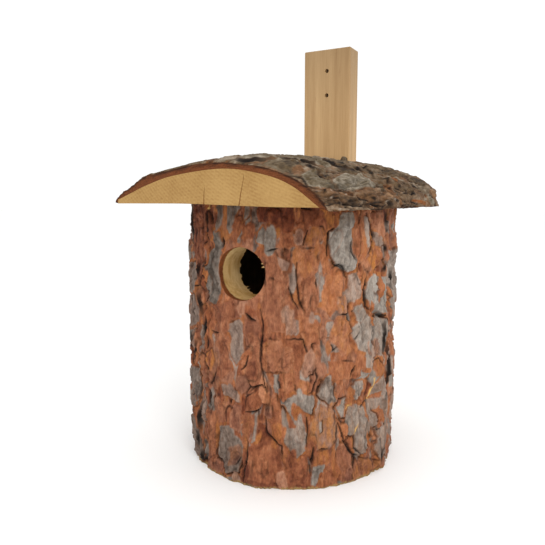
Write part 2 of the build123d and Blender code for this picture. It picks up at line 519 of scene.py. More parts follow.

# %% [markdown]
# ## A flake
# A flake's outline is a rounded box or a lens, made ragged by noise. Inside it the sheet rises by the
# flake's thickness, more at one end, because flakes let go from one end first. Bark grows in thin
# layers, so inside the outline one or two steps follow it, each a layer higher or lower and a little
# paler or darker. Round an old grey flake lies a ring of fresh bark that its edge has uncovered, and
# along one side a gap opens, whose shade is painted as the thin dark line that draws the flake.

# %% Lay a flake on the sheet
FLAKE_LIFT = 0.5
GAP_DEPTH, GAP_SIDE = 0.9, 0.35
LAYER_RISE, LAYER_TONE = 0.28, 0.13
LAYER_PLACES, MOST_LAYERS = (0.3, 0.95), 3
RING_WIDTH = 0.2
RING_LOOKS = {"weathered": 0.0, "ochre": 0.45, "tone": 0.6}
CURLED_TONE = 0.22


def lay_flake(bark, chance, spot, distance, a, b, edge, thickness, gap, looks, gap_turn=None):
    """Lays a flake on a part of the sheet: its outline is where distance is 1, and its edge is a slope.

    Across and along the flake, a and b run from -1 to 1.
    """
    lift = chance.uniform(-FLAKE_LIFT, FLAKE_LIFT)
    gap_turn = chance.uniform(0, math.tau) if gap_turn is None else gap_turn
    inside = ease((1 - distance) / edge + 0.5)
    uncovered = ease((1 + RING_WIDTH - distance) / edge + 0.5) * (1 - inside) * looks["weathered"] * bark.ring
    sided = np.clip(GAP_SIDE + a * math.cos(gap_turn) + b * math.sin(gap_turn), 0, 1)
    opened = np.exp(-(((distance - 1 - edge) / edge) ** 2)) * gap * bark.gaping[spot] * sided * (1 - inside)
    bark.relief[spot] += inside * thickness * (1 + lift * b) - opened * GAP_DEPTH
    for name, value in looks.items():
        field = bark.finish[name][spot]
        field += uncovered * (RING_LOOKS[name] - field)
        field += inside * (value - field)
    curled = np.exp(-(((1 - distance) / edge - 1) ** 2)) * (1 - sided)
    bark.finish["tone"][spot] += inside * curled * CURLED_TONE
    for share in chance.uniform(*LAYER_PLACES, chance.integers(1, MOST_LAYERS + 1)):
        layer = ease((share - distance) / edge + 0.5)
        bark.relief[spot] += layer * chance.choice([-1, 1]) * LAYER_RISE
        bark.finish["tone"][spot] += layer * chance.normal(0, LAYER_TONE)
    # Painted shade: the gap's dark line goes into the crevice layer, and a flake covers any shade under it.
    dark = bark.finish["crevice_shade_and_skin"][spot]
    dark *= 1 - inside
    np.maximum(dark, opened, out=dark)


print("a flake has up to", MOST_LAYERS, "layers,", LAYER_RISE, "mm high")

# %% Flakes with a rounded or a drawn outline
FLAKE_RAGGEDNESS, FLAKE_REACH = 1.35, 1.7
FLAKE_ROUNDNESS = (1.7, 3.0)
OUTLINE_RAGGEDNESS, OUTLINE_MARGIN = 3.6, 4.0


def press_flake(bark, chance, middle, half_size, thickness, gap, looks, lean=0.0, gap_turn=None):
    """Presses one flake on the sheet.

    Its outline is where (|a|^p + |b|^p)^(1/p) plus ragged noise is 1, a and b being the distances from
    its middle along its own two directions over its half sizes.
    """
    half_size = np.array(half_size)
    roundness = chance.uniform(*FLAKE_ROUNDNESS)
    reach = FLAKE_REACH * (half_size + math.sin(abs(lean)) * max(half_size))
    spot = bark.window(np.array(middle) - reach, np.array(middle) + reach)
    aside = bark.across[spot] - middle[0]
    ahead = bark.along[spot] - middle[1]
    a = (aside * math.cos(lean) + ahead * math.sin(lean)) / half_size[0]
    b = (ahead * math.cos(lean) - aside * math.sin(lean)) / half_size[1]
    distance = (np.abs(a) ** roundness + np.abs(b) ** roundness) ** (1 / roundness)
    distance = distance + FLAKE_RAGGEDNESS * bark.ragged[spot]
    edge = bark.edge / min(half_size)
    lay_flake(bark, chance, spot, distance, a, b, edge, thickness, gap, looks, gap_turn)


def press_outline(bark, chance, outline, thickness, gap, looks):
    """Presses a flake with a drawn outline.

    A point lies as far from the outline as from its nearest side, and inside where a level line from the
    point crosses the sides to its right an odd number of times.
    """
    outline = np.array(outline)
    low, high = outline.min(0), outline.max(0)
    half_size = (high - low) / 2
    spot = bark.window(low - OUTLINE_MARGIN, high + OUTLINE_MARGIN)
    here = np.stack([bark.across[spot], bark.along[spot]], axis=-1)
    nearest = np.full(here.shape[:2], np.inf)
    within = np.zeros(here.shape[:2], dtype=bool)
    for begin, end in zip(outline, np.roll(outline, -1, axis=0)):
        side = end - begin
        passed = np.clip((here - begin) @ side / (side @ side), 0, 1)
        nearest = np.minimum(nearest, np.linalg.norm(here - begin - passed[..., None] * side, axis=-1))
        level = (begin[1] > here[..., 1]) != (end[1] > here[..., 1])
        climb = np.where(level, here[..., 1] - begin[1], 0) / (side[1] or 1)
        within ^= level & (here[..., 0] < begin[0] + climb * side[0])
    depth = np.where(within, nearest, -nearest) - OUTLINE_RAGGEDNESS * bark.ragged[spot]
    a, b = np.moveaxis((here - (low + high) / 2) / half_size, -1, 0)
    narrow = min(half_size)
    lay_flake(bark, chance, spot, 1 - depth / narrow, a, b, bark.edge / narrow, thickness, gap, looks)


print("a flake's roundness runs from", *FLAKE_ROUNDNESS)

# %% Flakes scattered by chance
LOOSENESS = 0.7
SIZE_SPREAD, THICKNESS_SPREAD, GAP_SPREAD = (0.6, 1.45), (0.5, 1.5), (0.3, 1)
FLAKE_LEAN = 0.14


def loose_grid(bark, chance, spacing):
    """Places all over the sheet, one near each point of a grid, in random order."""
    columns = np.arange(bark.left, -bark.left, spacing[0])
    rows = np.arange(0, bark.along.max(), spacing[1])
    middles = np.stack(np.meshgrid(columns, rows), axis=-1).reshape(-1, 2)
    return chance.permutation(middles + chance.uniform(-LOOSENESS, LOOSENESS, middles.shape) * spacing)


def press_at(bark, chance, middle, half_size, thickness, gap, looks, lean=0.0, gap_turn=None):
    """Presses a flake whose size, thickness, gap and lean vary by chance."""
    size = np.array(half_size) * chance.uniform(*SIZE_SPREAD, 2)
    thickness = thickness * chance.uniform(*THICKNESS_SPREAD)
    gap = gap * chance.uniform(*GAP_SPREAD)
    lean = lean + chance.normal(0, FLAKE_LEAN)
    press_flake(bark, chance, middle, size, thickness, gap, looks, lean, gap_turn)


print("a flake is up to", max(SIZE_SPREAD), "times its usual size")

# %% [markdown]
# ## Cracks, steps and fissures
# A crack is a line of points on the sheet, and all that it needs is each place's distance from that
# line. A groove gives a split in the bark, and its shade is painted dark. Where one plate stands over
# the next, the sheet is lifted on one side of the line instead, which gives a step whose face is
# painted dark as shade. Fissures that run on along the grain have no line: they follow noise that is
# drawn out along the sheet, and their shade is painted dark too.


# %% Distance from a line
def near_line(bark, line, margin, wander):
    """The part of the sheet round a line of points, each place's distance from it and its way along it.

    The distance is positive on the line's left. Noise moves the places, so that the line wanders.
    """
    line = np.array(line)
    spot = bark.window(line.min(0) - margin, line.max(0) + margin)
    here = np.stack([bark.across[spot], bark.along[spot]], axis=-1) + wander * bark.ragged[spot][..., None]
    steps = np.linalg.norm(np.diff(line, axis=0), axis=1)
    begun = np.concatenate([[0], np.cumsum(steps)]) / steps.sum()
    nearest = np.full(here.shape[:2], np.inf)
    passed = np.zeros(here.shape[:2])
    for place, (start, end) in enumerate(zip(line, line[1:])):
        side = end - start
        held = np.clip((here - start) @ side / steps[place] ** 2, 0, 1)
        distance = np.linalg.norm(here - start - held[..., None] * side, axis=-1)
        leftness = side[0] * (here[..., 1] - start[1]) - side[1] * (here[..., 0] - start[0])
        closer = distance < np.abs(nearest)
        nearest = np.where(closer, np.copysign(distance, leftness), nearest)
        passed = np.where(closer, begun[place] + held * (begun[place + 1] - begun[place]), passed)
    return spot, nearest, passed


print("a line is met from its left at a distance above zero")

# %% Cracks and steps along a line
CRACK_WANDER = 3.0
LINE_MARGIN = 4.0
# A crack's width at its ends, and what its middle adds, as shares of the half width.
END_WIDTH, MIDDLE_WIDTH = 0.35, 0.65
LEDGE_RISE, LEDGE_REACH, LEDGE_MARGIN = 1.4, 16.0, 3
LEDGE_FACE, LEDGE_DIP, DIP_REACH = 1.3, 0.3, 3
LEDGE_ENDS, LEDGE_POWER = (0.04, 0.96), 0.5
# Width of the painted shade in front of a step, and of the painted dark strip on its edge.
LEDGE_SHADES = (2.0, 2.0)
LEDGE_WANDER = 1.5


def cut_crevice(bark, line, half_width, depth, finish="crevice_shade_and_skin", wander=CRACK_WANDER):
    """Cuts a crack along a line of points: the relief falls by depth times exp(-(distance / half width)^2).

    The half width tapers to both ends of the line. With a depth below zero and another finish, the line
    is a splinter that stands on the bark instead.
    """
    spot, nearest, passed = near_line(bark, line, LINE_MARGIN * half_width + LINE_MARGIN, wander)
    taper = half_width * (END_WIDTH + MIDDLE_WIDTH * np.sin(np.pi * passed))
    bark.relief[spot] -= np.exp(-((nearest / taper) ** 2)) * depth
    # Painted shade: the groove is coloured dark in the crevice layer; a splinter gets its bare colour there
    # instead.
    field = bark.finish[finish][spot]
    np.maximum(field, np.exp(-((nearest / taper) ** 4)), out=field)


def raise_ledge(bark, line, rise, ledge_reach=LEDGE_REACH, shades=LEDGE_SHADES):
    """Lifts the edge of a plate along a line, on the line's left, so that it stands over the next one.

    The lift falls with the distance d from the line as exp(-d / reach), and fades towards both ends of the
    line. The face of the step, the strip below it and a strip on its edge are painted dark, as the shade
    of a gap.
    """
    spot, nearest, passed = near_line(bark, line, LEDGE_MARGIN * ledge_reach, LEDGE_WANDER)
    fading = np.sin(np.pi * np.clip(passed, *LEDGE_ENDS)) ** LEDGE_POWER
    behind = ease(nearest / LEDGE_FACE + 0.5)
    lift = behind * np.exp(-np.maximum(nearest, 0) / ledge_reach)
    dip = LEDGE_DIP * (1 - behind) * np.exp(np.minimum(nearest, 0) / LEDGE_FACE / DIP_REACH)
    bark.relief[spot] += rise * fading * (lift - dip)
    # Painted shade: the step's face, the strip below it and a strip on its edge are coloured dark.
    dark = bark.finish["crevice_shade_and_skin"][spot]
    reach = np.where(nearest > 0, shades[1], shades[0])
    np.maximum(dark, np.exp(-((nearest / reach) ** 4)) * fading, out=dark)


print("a step", LEDGE_RISE, "mm high fades over", LEDGE_REACH, "mm")

# %% Fissures along the grain
FISSURE_SLOPE = 0.006
PATCH_SIZE, PATCH_SALT, PATCH_STRETCH = 2, 7, 1.5
PATCH_CONTRAST, PATCH_START = 4, 1.5


def open_fissures(bark, size, stretch, half_width, depth, salt, strength):
    """Opens cracks along the grain: grooves where noise drawn out along the sheet passes one half.

    The noise's height over its slope is the distance to that line, so the groove's width stays even.
    """
    level = bark.noise(size, salt, stretch)
    slope = np.hypot(*np.gradient(level, SHEET_STEP))
    distance = np.abs(level) / np.maximum(slope, FISSURE_SLOPE)
    patches = rough_noise(bark.across, bark.along, PATCH_SIZE * size, salt + PATCH_SALT, PATCH_STRETCH)
    patchy = ease(patches * PATCH_CONTRAST - PATCH_START)
    groove = np.exp(-((distance / half_width) ** 2)) * np.clip(patchy * strength, 0, 1)
    bark.relief -= groove * depth
    # Painted shade: the grooves are coloured dark in the crevice layer.
    np.maximum(bark.finish["crevice_shade_and_skin"], groove, out=bark.finish["crevice_shade_and_skin"])


print("fissures come in patches", PATCH_SIZE, "times as large as their bends")

# %% [markdown]
# ## The log's bark, laid out
# First come three passes of flakes all round the log: broad plates, flakes, and small scales. Grey
# ones are commoner towards the sides that the weather reached. On top lie the larger flakes that the
# photograph shows, each named, with how weathered, ochre and pale it is, and with its outline drawn
# through a few pixels. Last come thin scales in the colour of whatever they lie on.

# %% Scatter flakes round the log
GIRTH = math.tau * BARK_RADIUS
LOG_SEED = 5
FRONT_MIDDLE, FRONT_HALF, SIDE_FADE = 30.0, 55.0, 45.0
GREY_SHARE, GREY_AT_SIDES = 0.16, 0.34
OLD_GREYS, YOUNG_GREYS = (0.65, 1.0), (0.0, 0.25)
LOG_TONES, LOG_OCHRES = (0.25, 0.75), (-1.2, 0.6)
# Half size, spacing, thickness and gap of each pass.
LOG_PASSES = (
    ((12.0, 30.0), (18.0, 44.0), 0.9, 1.2),
    ((6.5, 17.0), (11.0, 28.0), 0.6, 1.2),
    ((3.2, 9.0), (9.0, 20.0), 0.4, 1.0),
)
log_sheet = BarkSheet(GIRTH, LOG_HEIGHT, stretch=1.5, salt=1, edge=0.7, ring=1.0)
log_chance = np.random.default_rng(LOG_SEED)


def sideways(across):
    """How far a place lies towards the weathered sides: 0 across the front, 1 well round the log."""
    return np.clip((np.abs(across - FRONT_MIDDLE) - FRONT_HALF) / SIDE_FADE, 0, 1)


def log_looks(middle, chance):
    """A flake's finish: grey ones are commoner on the sides than at the front."""
    old = chance.random() < GREY_SHARE + GREY_AT_SIDES * sideways(middle[0])
    return {
        "weathered": chance.uniform(*OLD_GREYS) if old else chance.uniform(*YOUNG_GREYS),
        "tone": chance.uniform(*LOG_TONES),
        "ochre": 0.0 if old else max(chance.uniform(*LOG_OCHRES), 0.0),
    }


for half_size, spacing, thickness, gap in LOG_PASSES:
    places = loose_grid(log_sheet, log_chance, spacing)
    for middle in places:
        looks = log_looks(middle, log_chance)
        press_at(log_sheet, log_chance, middle, half_size, thickness, gap, looks)
    print("flakes in this pass:", len(places))

# %% Flakes that the photograph shows
LOOKS = ("weathered", "ochre", "tone")
SHOWN_THICKNESS, GREY_THICKNESS = 0.4, 0.5
SHOWN_GAP = 1.1
# How weathered, ochre and pale each flake is; then the pixels of its outline.
LOG_FLAKES = {
    "left strip": ((0.1, 0, 0.25), (193, 208), (205, 208), (204, 247), (203, 268), (201, 285), (196, 283),
        (193, 240)),
    "second strip": ((0.1, 0.1, 0.4), (207, 211), (213, 218), (216, 232), (215, 246), (207, 248),
        (206, 232)),
    "grey beside entrance": ((1, 0, 0.12), (216, 231), (220.5, 232), (222.5, 241), (225, 246.5), (221, 255),
        (219, 265), (219, 277), (221, 288), (217, 303.5), (213, 301.5), (208, 282), (206, 268.5),
        (209, 249.5), (214.5, 246.5)),
    "grey under roof": ((0.9, 0, 0.35), (217, 207), (222.5, 207), (224, 216.5), (222, 226), (218.5, 231),
        (216.5, 225)),
    "broad grey under roof": ((0.95, 0, 0.4), (227, 206), (237, 206), (240, 210), (234.5, 218), (233, 227.5),
        (230, 233.5), (227, 229.5)),
    "round rust": ((0.05, 0.1, 0.45), (234.5, 217), (240.5, 216.5), (242, 223), (240, 230), (236, 234),
        (233, 228)),
    "grey hook": ((0.85, 0, 0.4), (245, 206), (249.5, 208), (249, 216.5), (244, 222), (243, 233), (240, 242),
        (236.5, 240), (240, 231.5), (242, 223)),
    "rust above entrance": ((0.05, 0.05, 0.35), (249.5, 222), (255, 224.5), (256, 233), (253.5, 240),
        (245, 241), (242.5, 237), (244, 227.5)),
    "fibrous orange": ((0.1, 0.8, 0.25), (266, 224.5), (275.5, 222), (280.5, 229), (280, 237), (274, 241),
        (268.5, 234)),
    "grey wedge": ((1, 0, 0.5), (257, 233), (263, 226), (267.5, 233), (273, 240), (273, 247.5), (267.5, 245),
        (257, 242.5)),
    # Its dark tone is partly the bark's own and partly painted shade under the roof.
    "dark rust under roof": ((0, 0, 0.05), (256, 206), (295, 206), (293.5, 227.5), (290.5, 233), (284, 234),
        (281, 227.5), (277, 222), (258, 223)),
    "rust beside wedge": ((0.05, 0.05, 0.5), (281, 234), (292, 232.5), (296, 246), (283, 250), (275, 248)),
    "rust under eave": ((0.05, 0.05, 0.35), (298, 209), (321, 210), (326, 228), (311, 227), (304, 240),
        (297, 233)),
    "long plate": ((0.12, 0.05, 0.5), (267, 252), (275.5, 252), (279.5, 264), (286.5, 271), (289, 277),
        (288, 296), (283, 307), (284, 318), (287, 334), (273, 332), (262, 323.5), (262, 301.5), (266, 282),
        (264.5, 266)),
    "pinkish flake": ((0.5, 0, 0.65), (277, 256), (289, 263), (287, 271), (282, 270), (279.5, 264.5)),
    "square orange": ((0.2, 0.6, 0.35), (310.5, 229), (322, 227.5), (325, 233), (318.5, 245), (306.5, 248),
        (307.5, 240)),
    "orange plate": ((0.05, 0.4, 0.7), (296, 250.5), (316.5, 247.5), (320, 257.5), (318.5, 270), (311, 277),
        (303, 279.5), (297, 268.5)),
    "grey pink strip": ((0.75, 0, 0.5), (317, 247), (323, 240), (321, 252), (322.5, 277), (318.5, 271),
        (320, 260)),
    "rust strip": ((0, 0.15, 0.6), (323.5, 236), (328.5, 231.5), (327.5, 255), (325, 279.5), (322.5, 277),
        (322.5, 245)),
    "broad grey": ((1, 0, 0.74), (337, 223), (342.5, 212), (351, 212), (353, 224.5), (351, 246.5),
        (355.5, 260.5), (356.5, 268.5), (348, 274.5), (342.5, 268.5), (335, 265), (330.5, 255), (328.5, 241),
        (329, 231.5), (334.5, 229.5)),
    "rust on grey": ((0.05, 0.05, 0.6), (353, 224.5), (362, 223.5), (364.5, 234), (364.5, 245), (359, 255),
        (355, 260), (351, 250)),
    "rust above it": ((0.05, 0.1, 0.45), (352.5, 212), (365, 212), (362, 223), (353.5, 224)),
    "grey strip": ((0.85, 0.1, 0.5), (364, 215), (368, 216.5), (370, 225), (369, 248), (364.5, 246.5),
        (364.5, 234)),
    "rust at right": ((0.15, 0.05, 0.6), (371, 213), (385, 212), (386.5, 227.5), (384, 245), (379.5, 235.5),
        (373, 226)),
    "grey past crack": ((0.8, 0.1, 0.45), (373.5, 231.5), (381, 234.5), (384, 245), (378.5, 248),
        (374, 244)),
    "ochre at right": ((0.05, 0.95, 0.6), (370, 248), (377, 246.5), (380.5, 253.5), (378.5, 266), (374, 271),
        (367.5, 260.5)),
    "grey at right": ((1, 0, 0.62), (367.5, 281), (374, 274), (386.5, 277), (388, 296), (382.5, 316.5),
        (375, 312.5), (367.5, 308.5), (364.5, 296)),
    "rust spot at right": ((0, 0.3, 0.5), (379.5, 281), (382.5, 282), (383, 294.5), (381, 300),
        (378.5, 293)),
    "right edge grey": ((0.9, 0, 0.45), (388.5, 250), (394, 250), (394, 320), (389.5, 318)),
    "bright orange": ((0, 0.25, 0.8), (329, 271), (336, 267), (342, 272.5), (342.5, 285), (338.5, 296),
        (338.5, 308.5), (329, 315), (320.5, 309.5), (320.5, 293), (323.5, 285)),
    "grey beige": ((0.75, 0.15, 0.62), (347, 274), (358, 271), (363.5, 282), (362, 296), (359, 309.5),
        (351, 312.5), (345.5, 301.5), (342.5, 293), (348, 288)),
    "ochre streak": ((0.3, 0.9, 0.7), (337, 297), (345.5, 296), (349.5, 304), (349, 314), (342.5, 316.5),
        (338.5, 309.5)),
    "rust plate": ((0.1, 0.05, 0.45), (303, 281), (315.5, 279.5), (320, 293), (318.5, 309.5), (314, 314),
        (305.5, 312.5), (299, 298.5)),
    "tan spot": ((0.45, 0.2, 0.5), (284, 308.5), (294.5, 309.5), (295.5, 331.5), (292, 337), (285, 336)),
    "orange below": ((0.05, 0.15, 0.65), (297.5, 314), (316.5, 319), (323.5, 329), (320.5, 345),
        (305.5, 346), (299, 331.5)),
    "upper right grey": ((0.95, 0.1, 0.62), (352, 307), (362, 304), (366, 316.5), (384, 318), (384.5, 340),
        (382.5, 355), (374, 356.5), (367.5, 366), (364, 366), (363, 351), (356.5, 348), (352, 340),
        (349.5, 330), (356.5, 320.5)),
    "tan on grey": ((0.5, 0.25, 0.5), (366, 342), (375, 342), (378, 352), (371, 356), (366, 352)),
    "ochre plate": ((0.1, 0.45, 0.65), (336, 316.5), (348, 315), (349.5, 337), (351.5, 349.5), (348, 359),
        (342.5, 352.5), (337, 348), (332, 342), (331.5, 329)),
    "left edge grey": ((0.9, 0, 0.35), (191.5, 262), (196, 262), (199, 275), (198, 290), (191.5, 292)),
    "left grey, lower": ((0.8, 0, 0.3), (191.5, 296), (198, 294), (201, 306), (200, 322), (191.5, 326)),
    "rust left of middle": ((0.1, 0.05, 0.45), (212.5, 307), (231.5, 301.5), (232.5, 323.5), (230, 331.5),
        (216.5, 331.5)),
    "grey island": ((0.8, 0.05, 0.5), (230, 323.5), (240, 319.5), (242.5, 323.5), (244, 355), (240, 360.5),
        (235.5, 366), (233, 359), (229, 331.5)),
    "rust below entrance": ((0.15, 0.05, 0.4), (245, 314), (258, 318), (261, 330), (261, 346), (246, 346),
        (244, 330)),
    "left rust": ((0.1, 0.05, 0.45), (216.5, 336), (230, 338), (230, 371.5), (219.5, 381), (216.5, 367.5)),
    "ochre at left": ((0.05, 0.8, 0.5), (205.5, 355), (211, 348), (214, 358), (211, 371.5), (207, 366)),
    "low left grey": ((0.9, 0, 0.4), (191, 366), (200, 367.5), (201.5, 385), (200, 406), (193, 404),
        (191, 381)),
    "rust beside crack": ((0.1, 0.05, 0.45), (251, 340), (261, 340), (260, 354), (261, 367.5), (262, 384),
        (251, 388), (245, 381), (244, 367.5), (249.5, 354)),
    "rust past crack": ((0.12, 0.1, 0.5), (266, 340), (281, 340), (285, 351), (290.5, 359), (290, 371.5),
        (275.5, 373), (266, 371.5)),
    "upper rust": ((0.05, 0.05, 0.5), (285, 340), (303, 340), (305.5, 352.5), (301.5, 367.5), (294.5, 371.5),
        (290.5, 359)),
    "dark scale": ((0.1, 0.05, 0.35), (312, 344), (319.5, 342.5), (320, 355), (315, 358)),
    "pinkish scale": ((0.35, 0.1, 0.6), (304.5, 354), (311, 347), (315, 359), (312.5, 374.5), (305.5, 377),
        (301.5, 371.5)),
    "pinkish oval": ((0.2, 0.05, 0.55), (316, 364.5), (322, 362), (326, 367.5), (324, 377), (318, 379)),
    "rust at mid right": ((0.05, 0.15, 0.5), (327.5, 360.5), (348, 360.5), (358, 364.5), (359, 375.5),
        (348, 380), (334.5, 380), (327.5, 373)),
    "orange at mid right": ((0.05, 0.5, 0.6), (373, 355), (382.5, 356.5), (382.5, 373), (375.5, 376),
        (373, 367.5)),
    "pinkish at left": ((0.25, 0.05, 0.5), (236, 376), (245, 376), (249.5, 388), (243, 395), (240, 400),
        (234.5, 390)),
    "greyish at left": ((0.7, 0.1, 0.45), (219.5, 384), (230, 385), (240, 395), (240, 404.5), (231.5, 400),
        (221, 392)),
    "rust pair": ((0.05, 0.15, 0.4), (245, 397.5), (259, 389.5), (266, 392), (263, 403), (256, 411),
        (245, 412.5), (244, 404)),
    "grey round the ovals": ((0.9, 0, 0.5), (273, 374), (280, 374), (280, 388), (286, 398), (281, 402),
        (274.5, 392)),
    "rust oval": ((0.05, 0.1, 0.45), (278.5, 374), (288, 373), (294.5, 374), (294.5, 392), (287, 398),
        (281, 395)),
    "second rust oval": ((0.05, 0.3, 0.5), (296, 378.5), (308.5, 380), (314, 386.5), (312.5, 392),
        (303, 393.5), (296, 389.5)),
    "grey band": ((0.95, 0, 0.52), (279.5, 397.5), (289, 397.5), (293.5, 394), (303, 393.5), (314, 395),
        (314.5, 406), (311, 414), (304.5, 412.5), (299, 407), (294.5, 414), (299, 422), (297.5, 427.5),
        (292, 422), (288, 411), (281, 404.5)),
    "middle grey": ((0.92, 0.1, 0.5), (282, 406), (287, 414), (289, 427.5), (303, 427.5), (307, 434.5),
        (305.5, 447), (297.5, 459), (289, 451), (284, 441.5), (281, 422)),
    "rust in the grey": ((0.05, 0.1, 0.4), (288, 414), (293, 419.5), (296, 427), (304.5, 417),
        (305.5, 427.5), (289, 427.5)),
    "grey spur": ((0.92, 0.1, 0.5), (326, 375), (330.5, 374), (333, 385), (334.5, 400), (330.5, 404.5),
        (320.5, 399), (317, 395)),
    "grey oval": ((0.92, 0.1, 0.55), (349.5, 389.5), (355, 381), (363, 380), (364.5, 386.5), (359, 397.5),
        (352, 399)),
    "grey beside the oval": ((0.95, 0, 0.45), (334.5, 407), (340, 399), (347, 397), (349.5, 400), (347, 411),
        (340, 418)),
    "low right grey": ((0.92, 0.15, 0.5), (347, 406), (355, 404.5), (363, 406), (367.5, 414), (371.5, 422),
        (367.5, 438.5), (360.5, 458), (355, 449.5), (355, 436), (344, 434.5), (344, 422)),
    "right grey": ((0.85, 0.15, 0.5), (366, 399), (384, 395), (384, 411), (382.5, 422), (382.5, 449.5),
        (377, 458), (373, 449.5), (375.5, 436), (373, 422), (367.5, 414)),
    "rust at low right": ((0.05, 0.25, 0.45), (373, 411), (378.5, 404.5), (382.5, 412.5), (379.5, 425),
        (375.5, 429)),
    "grey crescent": ((0.8, 0.1, 0.45), (374, 385), (381, 373), (384, 378.5), (381, 389.5), (373, 395),
        (367.5, 397.5)),
    "ochre and grey plate": ((0.45, 0.7, 0.6), (314, 417), (320.5, 406), (330.5, 411), (336, 422),
        (334.5, 438.5), (327.5, 448), (315, 449.5), (310.5, 438.5), (310.5, 422)),
    "grey on it": ((0.95, 0, 0.45), (318.5, 421), (322, 421), (322, 431), (319, 434)),
    "rust curve": ((0, 0.2, 0.65), (331.5, 410), (334.5, 411), (340, 422), (342.5, 434.5), (338.5, 434.5),
        (336, 425)),
    "rust past the low grey": ((0.05, 0.15, 0.45), (267, 392), (281, 404.5), (282.5, 427.5), (279.5, 440),
        (273, 436), (264, 408)),
    "pinkish chip": ((0.2, 0, 0.65), (264.5, 407), (271.5, 406), (272, 417), (267.5, 418), (264, 414)),
    "orange chip": ((0, 0.5, 0.55), (278.5, 422), (283, 423.5), (282.5, 438.5), (274, 438.5)),
    "rust by the slit": ((0.1, 0.2, 0.55), (244, 417), (253.5, 414), (253, 427.5), (249.5, 438.5),
        (245, 436)),
    "grey slit": ((0.85, 0, 0.45), (254, 414), (257.5, 412.5), (257, 427.5), (256, 441.5), (253, 441.5),
        (253.5, 427.5)),
    "rust at low left": ((0.1, 0.1, 0.5), (205.5, 408.5), (216.5, 411), (218, 436), (215, 454),
        (207, 456.5)),
    "low left grey, lower": ((0.85, 0.05, 0.4), (191, 414), (198.5, 417), (201.5, 436), (204, 460.5),
        (194.5, 458)),
    "low grey plate": ((0.9, 0.05, 0.4), (218, 425), (234.5, 425), (235.5, 434.5), (244, 441.5),
        (244, 456.5), (240, 471.5), (225, 471.5), (222, 460.5), (218.5, 454)),
    "brown on it": ((0.4, 0.2, 0.2), (229, 448), (240, 445.5), (242.5, 454), (237, 463.5), (229, 463.5)),
    "rust at the left foot": ((0.2, 0.05, 0.5), (208, 458), (222, 460.5), (223.5, 473), (209.5, 470)),
    "low rust": ((0.05, 0.05, 0.38), (245, 449.5), (262, 440), (275.5, 441.5), (281, 456.5), (284, 485.5),
        (267, 486), (244, 481)),
    "rust at the middle foot": ((0.05, 0.1, 0.45), (285, 456), (298, 461), (308.5, 452), (310, 486),
        (286.5, 486)),
    "orange over the foot": ((0.05, 0.5, 0.5), (312.5, 452.5), (327.5, 449.5), (329, 460.5), (323.5, 463.5),
        (312.5, 463.5)),
    "rust by the grey foot": ((0.05, 0.15, 0.55), (325, 463.5), (334.5, 469), (337, 486), (318, 486)),
    "grey at foot": ((1, 0, 0.6), (312, 465), (323.5, 463.5), (323.5, 471.5), (319.5, 478.5), (315, 486),
        (310.5, 486)),
    "rust at foot": ((0.15, 0.1, 0.55), (338.5, 444), (347, 444), (353.5, 454), (352, 466), (342.5, 471.5),
        (336.5, 465), (335, 455)),
    "orange at the right foot": ((0.15, 0.45, 0.5), (354, 458), (379.5, 460), (381, 470), (352.5, 479)),
}

for colouring, *pixels in LOG_FLAKES.values():
    looks = dict(zip(LOOKS, colouring))
    thickness = SHOWN_THICKNESS + GREY_THICKNESS * looks["weathered"]
    drawn = [on_log(*pixel) for pixel in pixels]
    press_outline(log_sheet, log_chance, drawn, thickness, SHOWN_GAP, looks)
print("flakes placed from the photograph:", len(LOG_FLAKES))

# %% Scales on top
SCALE_HALF_SIZE, SCALE_SPACING = (3.0, 8.0), (13.0, 22.0)
SCALE_THICKNESS, SCALE_GAP = 0.3, 0.9
SCALE_TONE, SCALE_RING = 0.1, 0.2


def scale_looks(bark, middle, chance):
    """A thin scale looks like the bark that it lies on, a little paler or darker."""
    column = int((middle[0] - bark.left) / SHEET_STEP) % bark.across.shape[1]
    row = min(max(int(middle[1] / SHEET_STEP), 0), bark.across.shape[0] - 1)
    looks = {name: bark.finish[name][row, column] for name in LOOKS}
    looks["tone"] = looks["tone"] + chance.normal(0, SCALE_TONE)
    return looks


log_sheet.ring = SCALE_RING
scale_places = loose_grid(log_sheet, log_chance, SCALE_SPACING)
for middle in scale_places:
    looks = scale_looks(log_sheet, middle, log_chance)
    press_at(log_sheet, log_chance, middle, SCALE_HALF_SIZE, SCALE_THICKNESS, SCALE_GAP, looks)
print("scales on top:", len(scale_places))

# %% [markdown]
# ## The log's form
# Under its flakes the bark stands in plates that run up the trunk, with a furrow between each plate
# and the next. The furrows wander, and they are deepest on the sides and at the back. The frame's
# bark has the same plates, from the same short rows of shares, so the flakes lie on the real form.

# %% Plates and furrows round the log
PLATE_COUNT = 24
FURROW_LEVELS = (0.0, 0.46, 1.0)
FURROW_WANDERS = np.array([0.1, -0.16, 0.04, 0.2, -0.08, 0.14, -0.2])
FURROW_DEPTHS = np.array([0.46, 0.62, 0.38, 0.56, 0.5])
WANDER_STEP, DEPTH_STEP = 2, 3
SMOOTH_TURN, SMOOTH_SHARE = 0.8, 0.7
BARK_THICKNESS, CREST_SHARE = 5.8, 0.94

level_number, furrow_number = np.meshgrid(np.arange(3), np.arange(PLATE_COUNT), indexing="ij")
furrow_wander = FURROW_WANDERS[(furrow_number + WANDER_STEP * level_number) % FURROW_WANDERS.size]
furrow_turn = (furrow_number + furrow_wander) / PLATE_COUNT
facing = np.maximum(np.cos(math.tau * (furrow_turn - SMOOTH_TURN)), 0)
furrow_depth = FURROW_DEPTHS[(furrow_number + DEPTH_STEP * level_number) % FURROW_DEPTHS.size]
furrow_depth = BARK_THICKNESS * (furrow_depth * (1 - SMOOTH_SHARE * facing) - (1 - CREST_SHARE))


